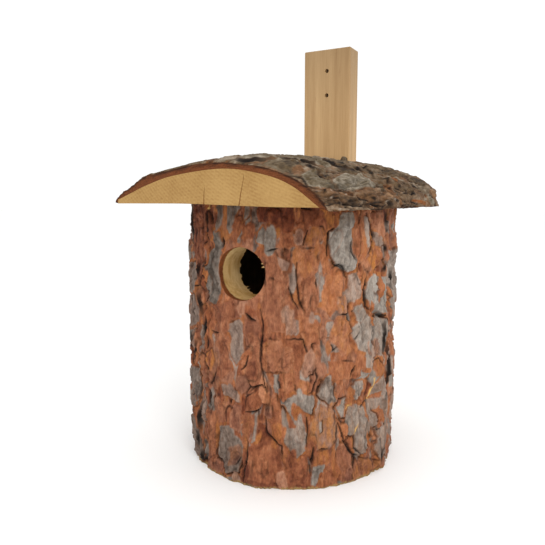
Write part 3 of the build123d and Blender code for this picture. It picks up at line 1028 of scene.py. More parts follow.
def plate_form(across, along):
    """The bark's radius: from each furrow to the next a parabola, its crest almost the bark's thickness high.

    Between the three levels, a furrow's place and depth follow the parabola through their values there.
    """
    rise = along / LOG_HEIGHT
    low, waist, high = FURROW_LEVELS
    weights = (
        (rise - waist) * (rise - high) / ((low - waist) * (low - high)),
        (rise - low) * (rise - high) / ((waist - low) * (waist - high)),
        (rise - low) * (rise - waist) / ((high - low) * (high - waist)),
    )
    place = (across / BARK_RADIUS - math.pi / 2) / math.tau * PLATE_COUNT % PLATE_COUNT
    plate = place
    for _ in range(3):
        wanders = [np.interp(plate, np.arange(PLATE_COUNT), row, period=PLATE_COUNT) for row in furrow_wander]
        plate = place - sum(weight * wander for weight, wander in zip(weights, wanders))
    furrow = np.floor(plate).astype(int)
    passed = plate - furrow
    nearest = (furrow + (passed > 0.5)) % PLATE_COUNT
    depth = sum(weight * row[nearest] for weight, row in zip(weights, furrow_depth))
    return WOOD_RADIUS + CREST_SHARE * BARK_THICKNESS - depth * (2 * passed - 1) ** 2


deepest, shallowest = float(furrow_depth.max()), float(furrow_depth.min())
print("furrows from", round(shallowest, 1), "to", round(deepest, 1), "mm deep")

# %% [markdown]
# ## Wear and painted shade on the log's bark
# As a trunk grows, its bark splits along the trunk, most of all on the sides, where it stands in
# upright ridges. Noise drawn out along the trunk gives ridges and fissures all round. Fine flecks
# cover everything. Shade is painted into the bark's tone: darker at its foot and under the roof, and
# darker on the left of the camera's line than on the right.

# %% Tones, ridges and fissures of the log
MEAN_TONE, TONE_RANGE = 0.56, 0.7
FLECK_SIZE, FLECK_SALT, FLECK_STRETCH, FLECK_TONE = 1.8, 25, 2.0, 0.68
FOOT_SHADE_HEIGHT, FOOT_SHADE_TONE = 95.0, 0.2
ROOF_SHADE_FROM, ROOF_SHADE_FADE, ROOF_SHADE_TONE = 203.0, 16.0, 0.28
PAINTED_SIDE_LIGHT = 0.12
RIDGE_SIZE, RIDGE_SALT, RIDGE_STRETCH, RIDGE_RISE = 8.0, 23, 6.0, 1.0
# Size, stretch, half width, depth and salt; then the strength at the front and what the sides add.
LOG_FISSURES = ((15.0, 4.5, 0.55, 1.6, 13, 0.35, 0.9), (8.0, 6.0, 0.5, 1.4, 17, 0.15, 0.9))

log_sides = sideways(log_sheet.across)
flecks = log_sheet.noise(FLECK_SIZE, FLECK_SALT, FLECK_STRETCH)
tone = MEAN_TONE + TONE_RANGE * (log_sheet.finish["tone"] - 0.5)
# Painted shade: the tone is darker at the foot and in the shade under the roof.
tone += FLECK_TONE * flecks - FOOT_SHADE_TONE * ease(1 - log_sheet.along / FOOT_SHADE_HEIGHT)
tone -= ROOF_SHADE_TONE * ease((log_sheet.along - ROOF_SHADE_FROM) / ROOF_SHADE_FADE)
# Painted light and shade: paler to the right of the camera's line, darker to its left.
tone += PAINTED_SIDE_LIGHT * np.sin(log_sheet.across / BARK_RADIUS - CAMERA_TURN)
log_sheet.finish["tone"] = tone
log_sheet.relief += 2 * RIDGE_RISE * log_sheet.noise(RIDGE_SIZE, RIDGE_SALT, RIDGE_STRETCH) * log_sides
for *fissure, strength, at_sides in LOG_FISSURES:
    open_fissures(log_sheet, *fissure, strength + at_sides * log_sides)
print("the log's relief spans", round(float(np.ptp(log_sheet.relief)), 1), "mm")

# %% [markdown]
# ## Cracks that the photograph shows
# Each of these is a line of pixels. At the front it is cut as a groove, with its shade painted dark.
# On the sides the sight line grazes the bark, and a groove would hide there, so the plate on the outer
# side of the line is lifted to a step whose face is painted dark as shade. A few splinters of bare fibre
# stand on the bark.

# %% Cracks and splinters of the log
# Half width in millimetres; then the pixels along it.
LOG_CRACKS = {
    "left edge, high": (1.0, (192.3, 209), (192.2, 226), (192, 243)),
    "under the left eave": (0.8, (208.6, 211), (205.2, 216), (205.5, 224), (205, 232), (203.5, 243.5),
        (203.2, 247)),
    "beside it": (0.7, (208.3, 213.3), (211.5, 219), (213.1, 225)),
    "left of the grey flake": (0.8, (205, 257), (203.5, 264.5), (203.9, 271.5)),
    "left edge": (0.9, (198, 262), (198.4, 272), (198.8, 279)),
    "below it": (0.9, (205, 281.5), (206.4, 291), (206.7, 300), (205.5, 306)),
    "left edge, below": (0.8, (199, 290), (199.4, 296), (201.2, 305), (201.3, 310), (200.7, 316)),
    "left hole": (1.4, (204.8, 317), (204.4, 323), (203.9, 328), (204.2, 335)),
    "left furrow": (1.0, (206.5, 335.5), (207.4, 341), (207.4, 348)),
    "left hook": (0.7, (201.3, 352.5), (204.5, 356), (206.5, 351)),
    "left stroke": (0.8, (205, 360.5), (208.3, 369.5)),
    "low left stroke": (0.9, (215.3, 372.5), (212.8, 380), (210.5, 384)),
    "low left, left": (0.9, (207.6, 383), (209.6, 391), (210.9, 395), (210.9, 406)),
    "left edge, middle": (0.9, (190.8, 329), (191.8, 336), (191.3, 349)),
    "left line": (0.5, (197.5, 339), (195.6, 352.5), (193.7, 359)),
    "low left": (1.2, (203, 402.5), (200.7, 413.5), (200.5, 422), (200.7, 431)),
    "low left, edge": (0.7, (198, 428), (198.8, 447.5)),
    "low left, lower": (0.9, (203.2, 447.5), (202.6, 454), (204.5, 463.5)),
    "foot hole": (1.2, (207.9, 455.5), (207.6, 460.5)),
    "under the round rust": (0.6, (211.5, 330.5), (214.5, 332.8), (218.5, 332.5)),
    "grey plate's corner": (0.7, (218.5, 451.5), (218.5, 458), (222.7, 461.5)),
    "beside the grey tip": (1.0, (222.6, 236), (222.4, 246.5)),
    "over the right plate": (0.8, (266, 252), (272, 250), (278, 248)),
    "orange plate's left": (0.9, (297, 262), (296.5, 280), (300, 300), (304, 311)),
    "rust plate's left": (0.8, (288.5, 286), (293, 300), (299, 309)),
    "square's left": (0.9, (302.5, 246), (305, 238), (308, 230)),
    "broad grey's left": (1.0, (328, 232), (327.5, 256)),
    "broad grey's foot": (1.0, (333, 263), (341, 268), (347, 277)),
    "under the right eave": (0.5, (360.5, 213), (358.3, 224.5)),
    "long right": (0.9, (367.5, 212), (369.1, 219), (371.7, 227.5), (372.6, 237), (371, 246.5),
        (368.5, 254)),
    "right edge, high": (0.6, (387.3, 211), (387.3, 225)),
    "right line": (0.5, (385.1, 243), (385.1, 253)),
    "slit at right": (0.5, (385.7, 262.5), (383.5, 272.5)),
    "right edge, thin": (0.5, (390.8, 269), (391.5, 288)),
    "middle right": (1.0, (366.6, 276.5), (365.9, 285), (364.3, 301), (364.7, 304), (367.9, 309),
        (371, 312)),
    "on to the edge": (0.8, (374.6, 312), (377.4, 314.7), (381.9, 315.6), (384.8, 318)),
    "right edge": (0.7, (384.8, 318), (383.3, 325.5), (383.5, 344.5), (383.5, 359.5)),
    "right edge, outer": (0.5, (387, 334.5), (386.7, 348.5), (387.6, 360.5), (385.7, 380), (385.1, 395.5),
        (384.4, 407)),
    "grey's left": (0.6, (359.6, 332), (355.7, 339.5)),
    "torn spot": (1.4, (245.5, 313), (250, 317), (255, 321)),
    "long middle": (0.9, (259.5, 310), (262, 322), (263, 335), (260, 350), (260, 362), (263, 380),
        (266, 393)),
    "rust step": (0.9, (241, 370), (245, 366), (248, 355)),
    "under the rust": (0.8, (250.5, 391), (255, 387), (262, 385), (266, 389)),
    "under the pair": (0.7, (245, 412), (256, 411.5), (260, 409)),
    "past the chip": (0.8, (264.5, 417), (267, 432), (273, 439), (281, 448), (282.5, 455)),
    "grey plate's right": (0.8, (307, 417), (307, 436), (305.5, 449)),
    "pinkish oval's left": (0.7, (315, 366), (317, 378), (312.5, 395)),
    "knot": (1.0, (331.5, 345), (334.5, 350), (337, 347)),
    "short upper right": (0.7, (355, 366), (351, 377)),
    "foot, left": (0.9, (247, 441), (246, 460), (243, 482)),
    "low right": (0.9, (337, 417), (341, 430), (342.7, 441), (349, 449), (355, 455), (353.8, 463),
        (351, 480)),
    "right plate's foot": (0.6, (354.1, 434), (354.5, 441), (353.8, 447), (360.2, 457)),
    "right of the spur": (0.8, (334.5, 383), (335, 402)),
    "oval's left": (0.7, (334, 409), (338, 401), (346, 396.5)),
    "short low right": (0.7, (366.6, 399), (360.2, 407)),
    "above the foot plate": (1.0, (313, 447), (312, 465)),
    "foot, right": (0.8, (382.5, 449.5), (382.2, 463)),
    "notch": (1.3, (316, 280), (316.5, 289)),
}
LOG_SPLINTERS = {
    "sliver": (0.7, (374.3, 377.5), (370.5, 388), (366.5, 398.5)),
    "golden edge": (0.5, (358, 424), (355.5, 429), (354.1, 434)),
    "hook": (0.45, (345.5, 409), (347, 405), (351.5, 404.2)),
    "under the left eave": (0.6, (210.2, 207.5), (208.4, 212)),
}
print("cracks to place:", len(LOG_CRACKS), "and splinters:", len(LOG_SPLINTERS))

# %% Place them on the furrowed bark
SIGHT_FROM, SIGHT_TO, SIGHT_STEP = 380.0, 560.0, 0.1
CRACK_SHARE, CRACK_DEPTH = 0.88, 2.0
SIDE_FACING, LEAST_FACING = 0.6, 0.34
SIDE_RISE, SIDE_REACH, SIDE_SHADES = 2.4, 5.0, (1.7, 2.2)
SPLINTER_RISE, SPLINTER_WANDER = 0.6, 0.2


def on_furrows(x, y):
    """The place on the furrowed bark that shows at a pixel: the first point of its sight line inside.

    A line that passes the log by takes its nearest point.
    """
    points = eye + np.arange(SIGHT_FROM, SIGHT_TO, SIGHT_STEP)[:, None] * sight_through(x, y)
    across = BARK_RADIUS * np.arctan2(points[:, 0], -points[:, 1])
    bark = plate_form(across, points[:, 2]) + log_sheet.heights(across, points[:, 2])
    outside = np.hypot(points[:, 0], points[:, 1]) - bark
    first = (outside < 0).argmax() if outside.min() < 0 else outside.argmin()
    return across[first], points[first, 2]


def turned_away(line):
    """The angle round the log from the camera's side to the middle of a line, positive to the right."""
    return np.mean(line, axis=0)[0] / BARK_RADIUS - CAMERA_TURN


grooves = 0
for half_width, *pixels in LOG_CRACKS.values():
    line = [on_furrows(*pixel) for pixel in pixels]
    facing = math.cos(turned_away(line))
    if facing > SIDE_FACING:
        cut_crevice(log_sheet, line, CRACK_SHARE * half_width / facing, CRACK_DEPTH)
        grooves += 1
        continue
    climbs = line[-1][1] > line[0][1]
    outwards = line if climbs == (turned_away(line) < 0) else line[::-1]
    rise = SIDE_RISE * half_width * facing / SIDE_FACING
    raise_ledge(log_sheet, outwards, rise, SIDE_REACH, SIDE_SHADES)
for half_width, *pixels in LOG_SPLINTERS.values():
    line = [on_furrows(*pixel) for pixel in pixels]
    half_width = half_width / max(math.cos(turned_away(line)), LEAST_FACING)
    cut_crevice(log_sheet, line, half_width, -SPLINTER_RISE, "bare", SPLINTER_WANDER)
print("grooves:", grooves, "and steps:", len(LOG_CRACKS) - grooves)

# %% [markdown]
# ## Where log and roof meet
# The thin left eave of the roof curled up a little as it dried, and the log's top was cut to it. Both
# the log's bark and the roof's wood read the height of this joint from one function.

# %% Joint between log and roof
EAVE_CURL = 2.4
CURL_FROM, CURL_SPAN = 66.0, 105.0
CURL_END, CURL_FADE = 75.0, 90.0


def sawn_underside(x, y):
    """Height of the roof's sawn face over the log's top: it rises to the left and fades to the rear."""
    leftward = ease((CURL_FROM - x) / CURL_SPAN)
    frontward = ease((CURL_END - y) / CURL_FADE)
    return EAVE_CURL * leftward * frontward


print("the joint rises by up to", EAVE_CURL, "mm")

# %% [markdown]
# ## The log's bark, wrapped round
# The sheet is wrapped round the log: a point's radius is the form's radius plus its relief, with the
# few bulges and hollows that the log's outline shows. The entrance is not cut out of the mesh.
# Instead, a square of the grid is left out and the squares round it are pulled into rings, so that the
# edge of the opening is an exact circle. Behind the batten the bark is planed flat, and at both ends
# it turns in to meet the wood.

# %% Grid round the log
COLUMNS = 816
ROWS_BELOW, ROWS_ABOVE = 245, 74
HOLE_CELLS = 27
RINGS_END = 2.2
TINY = 1e-9

girth_steps = np.linspace(-GIRTH / 2, GIRTH / 2, COLUMNS + 1)
below = np.linspace(0, ENTRANCE_HEIGHT, ROWS_BELOW + 1)
above = np.linspace(ENTRANCE_HEIGHT, LOG_HEIGHT, ROWS_ABOVE + 1)
around, height = np.meshgrid(girth_steps, np.concatenate([below, above[1:]]))
cell_across = np.abs(np.arange(COLUMNS + 1) - COLUMNS // 2)[None, :]
cell_up = np.abs(np.arange(ROWS_BELOW + ROWS_ABOVE + 1) - ROWS_BELOW)[:, None]
ring = np.maximum(cell_across, cell_up) / HOLE_CELLS

hole_half_girth = BARK_RADIUS * math.asin(ENTRANCE_RADIUS / BARK_RADIUS)
aside = around / hole_half_girth
raised = (height - ENTRANCE_HEIGHT) / ENTRANCE_RADIUS
reach = np.maximum(np.hypot(aside, raised), TINY)
outer_reach = reach * RINGS_END / np.maximum(ring, TINY)
pulled = 1 + (outer_reach - 1) * (ring - 1) / (RINGS_END - 1)
scale = np.where((ring >= 1) & (ring < RINGS_END), pulled / reach, 1.0)
around = aside * scale * hole_half_girth
height = ENTRANCE_HEIGHT + raised * scale * ENTRANCE_RADIUS
print("grid of", height.shape, "points round the log")

# %% Radius of the bark
EVEN_RIM, EVEN_FOOT = 5.0, 5.0
RIM_RELIEF, FOOT_RELIEF = 0.25, 0.45
FINE_SIZE, FINE_SALT, FINE_STRETCH, FINE_RISE = 2.2, 31, 2.5, 0.5
SWELL_SIZE, SWELL_SALT, SWELL_STRETCH, SWELL_LAYERS = 60.0, 36, 2.0, 2
UNDULATION = 0.8
THINNEST_BARK, WIDEST_BARK = 0.4, 94.2
BULGE_GIRTH = 26.0
# Where each bulge shows on the outline, its reach up the log and its rise in millimetres.
LOG_BULGES = {
    "left": ((190.5, 378), 52.0, 1.6),
    "left, high": ((189, 260), 20.0, -1.2),
    "left, low": ((188, 442), 13.0, -2.8),
    "right": ((394, 388), 19.0, 3.6),
    "right, high": ((396, 226), 35.0, -2.4),
    "right, low": ((391, 437), 18.0, -2.4),
}

relief = log_sheet.heights(around, height)
fine = rough_noise(around, height, FINE_SIZE, FINE_SALT, FINE_STRETCH) - 0.5
swell = rough_noise(around, height, SWELL_SIZE, SWELL_SALT, SWELL_STRETCH, SWELL_LAYERS) - 0.5
from_rim = np.hypot(around / hole_half_girth, (height - ENTRANCE_HEIGHT) / ENTRANCE_RADIUS) - 1
evened = RIM_RELIEF + (1 - RIM_RELIEF) * ease(from_rim * ENTRANCE_RADIUS / EVEN_RIM)
evened = evened * (FOOT_RELIEF + (1 - FOOT_RELIEF) * ease(height / EVEN_FOOT))
radius = plate_form(around, height) + (relief + FINE_RISE * fine) * evened + 2 * UNDULATION * swell
for pixel, bulge_reach, bulge_rise in LOG_BULGES.values():
    bulge_around, bulge_height = on_log(*pixel)
    away = ((around - bulge_around) / BULGE_GIRTH) ** 2 + ((height - bulge_height) / bulge_reach) ** 2
    radius = radius + bulge_rise * np.exp(-away)
radius = np.clip(radius, WOOD_RADIUS + THINNEST_BARK, WIDEST_BARK)
log_finish = log_sheet.finishes(around, height)
print("bark radius from", round(float(radius.min()), 1), "to", round(float(radius.max()), 1), "mm")

# %% Bark pieces round the log
FRAYED_SIZE, FRAYED_SALT, FRAYED_FOOT = 1.6, 41, 1.6
CUT_FADE, CUT_START = 0.8, 0.3
JOINT_FIT = 25.0
ENDS_SINK, BATTEN_GAP = 0.5, 0.1
SECTORS = ("left", "front", "right")

frayed = rough_noise(around, height, FRAYED_SIZE, FRAYED_SALT, layers=2) * 2 * FRAYED_FOOT
log_finish["cut"] = ease((frayed - height) / CUT_FADE + CUT_START)
turned_in = np.full((1, COLUMNS + 1), WOOD_RADIUS - ENDS_SINK)
radius = np.vstack([turned_in, radius, turned_in])
height = np.vstack([height[:1], height, height[-1:]])
turn = np.vstack([around[:1], around, around[-1:]]) / BARK_RADIUS
log_finish = {name: np.vstack([values[:1], values, values[-1:]]) for name, values in log_finish.items()}
log_finish["cut"][[0, -1]] = 1.0
rear = np.minimum(-radius * np.cos(turn), BATTEN_FACE - BATTEN_GAP)
log_points = np.stack([radius * np.sin(turn), rear, height], axis=-1)
lifted = sawn_underside(log_points[..., 0], rear) * ease((height - LOG_HEIGHT) / JOINT_FIT + 1)
log_points[..., 2] += lifted

log_rows = len(height)
square_row, square_column = np.divmod(np.arange((log_rows - 1) * COLUMNS), COLUMNS)
hole_row = square_row - 1 - ROWS_BELOW
hole_column = square_column - COLUMNS // 2
in_hole = (np.abs(hole_row + 0.5) < HOLE_CELLS) & (np.abs(hole_column + 0.5) < HOLE_CELLS)
for sector, name in enumerate(SECTORS):
    first = sector * COLUMNS // len(SECTORS)
    last = (sector + 1) * COLUMNS // len(SECTORS)
    mine = np.s_[:, first : last + 1]
    squares = grid_squares(log_rows, last - first + 1)
    kept = ~in_hole.reshape(log_rows - 1, COLUMNS)[:, first:last].ravel()
    finishes = {key: values[mine] for key, values in log_finish.items()}
    points = log_points[mine]
    piece = make_piece("log_bark_" + name, points, squares[kept], log_bark_finish, finishes)
    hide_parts("log_bark")

# %% [markdown]
# ## The entrance
# A drill cut through bark and wood. The bark's cut edge is orange-brown and crumbly. Behind it the
# bore is pale sapwood, smooth along the grain on its sides, with fibres torn loose where the drill
# broke through, and a few chips left at its right. Both are rings carried along the bore, the first
# from the bark's own opening.

# %% Wood finishes
UPRIGHT_GRAIN = (1.0, 1.0, 0.08)
CLOUD_SIZE = 18.0
LATE_WOOD_BOUNDS = {"From Min": 0.7, "From Max": 1.3}
FIBRE_RELIEF, FIBRE_DEPTH = 0.35, 0.25
SAWN_ROUGHNESS, ROUGH_BORED = 0.62, 0.85


def sawn_pine(name, pale, dark, grain_along, grain_size, roughness=SAWN_ROUGHNESS):
    """Pine cut by a tool: pale early wood with darker streaks of late wood along the grain."""
    material, tree, shader = new_material(name, roughness)
    place = add_node(tree, "TexCoord").outputs["Object"]
    streak = pattern(tree, place, grain_size, detail=5.0, along=grain_along, roughness=0.6)
    cloud = pattern(tree, place, CLOUD_SIZE)
    share = spread(tree, reckon(tree, "ADD", streak, cloud), LATE_WOOD_BOUNDS)
    colour = blend(tree, share, paint(pale), paint(dark))
    dress(tree, shader, colour, streak, FIBRE_RELIEF, FIBRE_DEPTH)
    return material


bore_finish = sawn_pine("drilled pine sapwood", "#e4c892", "#b58e50", UPRIGHT_GRAIN, grain_size=2.2)
# Painted shade: the hollow's wood is coloured dark as the deep shade inside the log.
cavity_shade_finish = sawn_pine(
    "rough bored pine, painted dark as shade", "#5d4427", "#3a2815", UPRIGHT_GRAIN, grain_size=3.0, roughness=ROUGH_BORED
)
rim_finish = sawn_pine(
    "drilled pine bark", "#8a4c22", "#5c2f14", ALL_WAYS, grain_size=1.1, roughness=ROUGH_BORED
)
print("entrance finishes:", bore_finish.name, "and", rim_finish.name)

# %% Cut edge of the bark round the entrance
RIM_RINGS, RIM_DEPTH, RIM_SINK = 6, 5.0, 0.6
CRUMBLE_SIZE, CRUMBLE_SALT, CRUMBLE_RISE = 1.4, 51, 0.9
CRUMBLE_END = 0.75

edge = np.arange(-HOLE_CELLS, HOLE_CELLS)
side = np.full(edge.size, HOLE_CELLS)
loop_columns = np.concatenate([edge, side, -edge, -side])
loop_rows = np.concatenate([-side, edge, side, -edge])
loop = log_points[loop_rows + ROWS_BELOW + 1, loop_columns + COLUMNS // 2]
loop = np.vstack([loop, loop[:1]])
loop_turn = np.arctan2(loop[:, 2] - ENTRANCE_HEIGHT, loop[:, 0])


def bore_point(radius, turn, log_radius):
    """Points of the bore at a radius of the log: x and z on the bore's circle, y on the log's."""
    x = radius * np.cos(turn)
    z = ENTRANCE_HEIGHT + radius * np.sin(turn)
    return np.stack([x, -np.sqrt(log_radius**2 - x**2), z], axis=-1)


share = np.linspace(0, 1, RIM_RINGS)[:, None, None]
rim = loop * (1 - share) + bore_point(ENTRANCE_RADIUS, loop_turn, WOOD_RADIUS - RIM_SINK) * share
inwards = share[..., 0]
crumble = rough_noise(loop_turn * ENTRANCE_RADIUS, inwards * RIM_DEPTH, CRUMBLE_SIZE, CRUMBLE_SALT) - 0.5
crumble = crumble * np.sin(np.pi * np.clip(inwards, 0, CRUMBLE_END)) * CRUMBLE_RISE
centre = np.array([0, 0, ENTRANCE_HEIGHT])
outwards = (rim - centre) * np.array([1, 0, 1])
rim = rim + outwards / np.linalg.norm(outwards, axis=-1, keepdims=True) * crumble[..., None]
make_piece("entrance_bark_edge", rim, grid_squares(*rim.shape[:2]), rim_finish)

# %% Bore through the wood
BORE_COLUMNS, BORE_RINGS = 480, 40
BORE_LINING, BORE_SINK = 0.12, 0.7
BORE_ROUND = 9
SEAM_TURN, SEAM_WIDTH, SEAM_DEPTH = math.radians(196), 0.05, 0.12
SEAM_WANDER, SEAM_WAVES = 0.05, 5
CHATTER_SIZE, CHATTER_SALT, CHATTER_DEPTH = 2.0, 65, 0.25
CHATTER_ROUND, CHATTER_ALONG = 4, 3
TORN_SIZE, TORN_SALT, TORN_CONTRAST, TORN_START = 1.3, 61, 2.4, 0.9
TORN_LENGTH, TORN_RISE = 1.6, 0.5
TORN_SLOPE, TORN_FROM = 4, 3.2
SPLINTER_TURNS = np.radians([228, 236, 262, 268, 275, 300])
SPLINTER_WIDTH, SPLINTER_LENGTH, SPLINTER_LIFT = 0.018, 5.0, 0.6
SPLINTER_SLOPE, SPLINTER_FROM = 5, 4
LOOSE_POWER = 6
CHIP_TURNS, CHIP_LENGTHS = np.radians([47, 37, 28, 19]), (3.4, 3.0, 4.6, 5.6)
CHIP_WIDTH, CHIP_DEPTH, CHIP_REACH = 0.06, 0.06, 0.06

bore_turn, depth = np.meshgrid(np.linspace(0, math.tau, BORE_COLUMNS + 1), np.linspace(0, 1, BORE_RINGS))
bore_x, bore_z = np.cos(bore_turn) * BORE_ROUND, np.sin(bore_turn) * BORE_ROUND
torn = rough_noise(bore_x, bore_z, TORN_SIZE, TORN_SALT, layers=2)
torn = ease(torn * TORN_CONTRAST - TORN_START)
seam_middle = SEAM_TURN + SEAM_WANDER * np.sin(depth * SEAM_WAVES)
seam = np.exp(-(((bore_turn - seam_middle) / SEAM_WIDTH) ** 2))
chatter_along = bore_z * CHATTER_ROUND + depth * CHATTER_ALONG
chatter = rough_noise(bore_x * CHATTER_ROUND, chatter_along, CHATTER_SIZE, CHATTER_SALT) - 0.5
bore_radius = ENTRANCE_RADIUS - BORE_LINING - CHATTER_DEPTH * chatter + SEAM_DEPTH * seam
splinter = sum(np.exp(-(((bore_turn - turn) / SPLINTER_WIDTH) ** 2)) for turn in SPLINTER_TURNS)
bore_radius = bore_radius - torn * ease(depth * TORN_SLOPE - TORN_FROM) * TORN_RISE
bore_radius = bore_radius - splinter * ease(depth * SPLINTER_SLOPE - SPLINTER_FROM) * SPLINTER_LIFT
for turn, chip_length in zip(CHIP_TURNS, CHIP_LENGTHS):
    chip = np.exp(-(((bore_turn - turn) / CHIP_WIDTH) ** 2) - ((depth - CHIP_DEPTH) / CHIP_REACH) ** 2)
    bore_radius = bore_radius - chip_length * chip
outer = bore_point(bore_radius, bore_turn, WOOD_RADIUS - BORE_SINK)
inner = bore_point(bore_radius, bore_turn, CAVITY_RADIUS)
inner[..., 1] += (torn * TORN_LENGTH + splinter * SPLINTER_LENGTH) * depth**LOOSE_POWER
bore = outer + (inner - outer) * depth[..., None]
make_piece("entrance_bore", bore, grid_squares(*bore.shape[:2]), bore_finish)

# %% [markdown]
# ## The hollow
# The core was bored out, so the inside of the log carries coarse rings from the tool. It only shows
# through the entrance, in deep shade, and its wood is painted dark as that shade. A tube just inside the
# wall, with shallow grooves, stands in front of the plain wall and leaves the entrance open.

# %% Lining of the hollow
HOLLOW_COLUMNS, HOLLOW_ROWS = 240, 150
FLOOR_TOP = 20.5
GROOVE_PITCH, GROOVE_DEPTH, LINING_GAP = 6.0, 0.5, 0.15
BORE_MARGIN = 1.5

hollow_turn, hollow_height = np.meshgrid(
    np.linspace(-math.pi, math.pi, HOLLOW_COLUMNS + 1), np.linspace(FLOOR_TOP, LOG_HEIGHT, HOLLOW_ROWS)
)
groove = np.abs(((hollow_height / GROOVE_PITCH + hollow_turn / math.tau) % 1) - 0.5)
hollow_radius = CAVITY_RADIUS - LINING_GAP - GROOVE_DEPTH * groove
hollow = np.stack(
    [hollow_radius * np.sin(hollow_turn), -hollow_radius * np.cos(hollow_turn), hollow_height], axis=-1
)
hollow_squares = grid_squares(HOLLOW_ROWS, HOLLOW_COLUMNS + 1)[:, ::-1]
middles = hollow.reshape(-1, 3)[hollow_squares].mean(1)
from_bore = np.hypot(middles[:, 0], middles[:, 2] - ENTRANCE_HEIGHT)
at_bore = (from_bore < ENTRANCE_RADIUS + BORE_MARGIN) & (middles[:, 1] < 0)
hollow_squares = hollow_squares[~at_bore]
make_piece("hollow_lining", hollow, hollow_squares, cavity_shade_finish)

# %% [markdown]
# ## The roof's wood
# The slab was sawn from the side of a trunk some 300 mm across, so its front shows end grain: rings
# that run with the bark, crossed by fine saw marks, with two drying cracks. Its section is a curve
# through a few points, wider and higher at the rear. One grid wraps the whole slab: up the front,
# back under the bark, down the rear and forward along the sawn underside. Columns crowd together at
# the two cracks, so that each is a real groove.

# %% Section of the slab
SLAB_FRONT_HALF_WIDTH, SLAB_FRONT_RISE = 84.5, 25.8
SLAB_REAR_HALF_WIDTH, SLAB_REAR_RISE = 99.0, 40.0
# Points of the curve: shares of the half width, and of the rise.
SLAB_SHARES = (
    (-1, 0.2), (-0.83, 0.41), (-0.66, 0.615), (-0.36, 0.87),
    (0.13, 1.02), (0.5, 0.855), (0.762, 0.55), (1, 0),
)
CURVE_STEPS = 400


def curve_through(points, shares):
    """A smooth curve through points, at shares of the way.

    Each stretch is a cubic whose slopes at both ends follow the neighbouring points.
    """
    points = np.array(points, dtype=float)
    padded = np.vstack([2 * points[0] - points[1], points, 2 * points[-1] - points[-2]])
    place = np.clip(shares, 0, 1) * (len(points) - 1)
    stretch = np.minimum(place.astype(int), len(points) - 2)
    t = (place - stretch)[:, None]
    before, start, end, after = (padded[stretch + step] for step in range(4))
    slope = (end - before) / 2
    bend = before - 2.5 * start + 2 * end - 0.5 * after
    twist = 1.5 * (start - end) + 0.5 * (after - before)
    return start + slope * t + bend * t**2 + twist * t**3


dense = curve_through(SLAB_SHARES, np.linspace(0, 1, CURVE_STEPS))


def slab_rise(along):
    """The wood's height over its underside, as a share of the rise, at a share of the half width."""
    return np.interp(along, dense[:, 0], dense[:, 1])


print("slab crown at", round(float(dense[dense[:, 1].argmax(), 0]), 2), "of the half width")

# %% End grain finish
TRUNK_RADIUS = (SLAB_FRONT_HALF_WIDTH**2 + SLAB_FRONT_RISE**2) / (2 * SLAB_FRONT_RISE)
PITH = (0.0, LOG_HEIGHT + SLAB_FRONT_RISE - TRUNK_RADIUS)
RING_PITCH, RING_WOBBLE, RING_STRENGTH = 2.4, 1.6, 0.12
SAW_MIDDLE = (110.0, LOG_HEIGHT + 165.0)
SAW_PITCH, SAW_WOBBLE, SAW_STRENGTH = 2.3, 1.0, 0.4
# A ring wave of scale one repeats after a tenth of pi.
WAVE_LENGTH = math.pi / 10
DOT_SIZE, DOT_STRENGTH = 1.3, 0.6
BLOTCH_SIZE = 22.0
END_GRAIN_BOUNDS = {"From Min": 0.65, "From Max": 1.5}
SAW_RELIEF, SAW_DEPTH = 0.35, 0.3


def end_grain(name, pale, dark, crack_shade_colour):
    """Sawn end grain: faint growth rings round the pith, dotted arcs left by the saw, and drying cracks
    painted dark as their shade.
    """
    material, tree, shader = new_material(name, roughness=0.7, specular=0.25)
    place = add_node(tree, "TexCoord").outputs["Object"]
    arcs = []
    for (x, z), pitch, wobble in ((PITH, RING_PITCH, RING_WOBBLE), (SAW_MIDDLE, SAW_PITCH, SAW_WOBBLE)):
        inputs = {"Vector": place, "Location": (-x * MM, 0, -z * MM)}
        moved = add_node(tree, "Mapping", inputs).outputs["Vector"]
        inputs = {"Vector": moved, "Scale": per_metre(pitch) * WAVE_LENGTH, "Distortion": wobble}
        inputs |= {"Detail": 2.0, "Detail Scale": 2.0}
        wave = add_node(tree, "TexWave", inputs, wave_type="RINGS", rings_direction="Y")
        arcs.append(wave.outputs["Fac"])
    rings, saw = arcs
    dots = pattern(tree, place, DOT_SIZE)
    mixed = pattern(tree, place, BLOTCH_SIZE)
    marks = reckon(tree, "MULTIPLY", saw, dots)
    for layer, strength in ((marks, SAW_STRENGTH), (rings, RING_STRENGTH), (dots, DOT_STRENGTH)):
        mixed = reckon(tree, "MULTIPLY_ADD", layer, strength, mixed)
    mixed = spread(tree, mixed, END_GRAIN_BOUNDS)
    # Painted shade: the drying cracks are coloured darker.
    crack_shade = add_node(tree, "Attribute", attribute_name="crack_shade").outputs["Fac"]
    colour = paint(pale)
    for share, hue in ((mixed, dark), (crack_shade, crack_shade_colour)):
        colour = blend(tree, share, colour, paint(hue))
    dress(tree, shader, colour, marks, SAW_RELIEF, SAW_DEPTH)
    return material


slab_finish = end_grain("sawn pine end grain", "#a4824e", "#886434", "#7d4d24")
print("rings", RING_PITCH, "mm apart round a trunk of radius", round(TRUNK_RADIUS), "mm")

# %% Slab wood
# Each crack runs from its upper pixel to its lower one on the front face.
SLAB_CRACKS = {
    "left": ((204.1, 187.0), (203.3, 203.0)),
    "right": ((243.5, 175.0), (238.6, 205.0)),
}
FACE_ROWS, BACK_ROWS, REAR_ROWS = 44, 40, 12
EVEN_COLUMNS, CROWDED_COLUMNS, CROWDED_REACH = 361, 60, 1.5


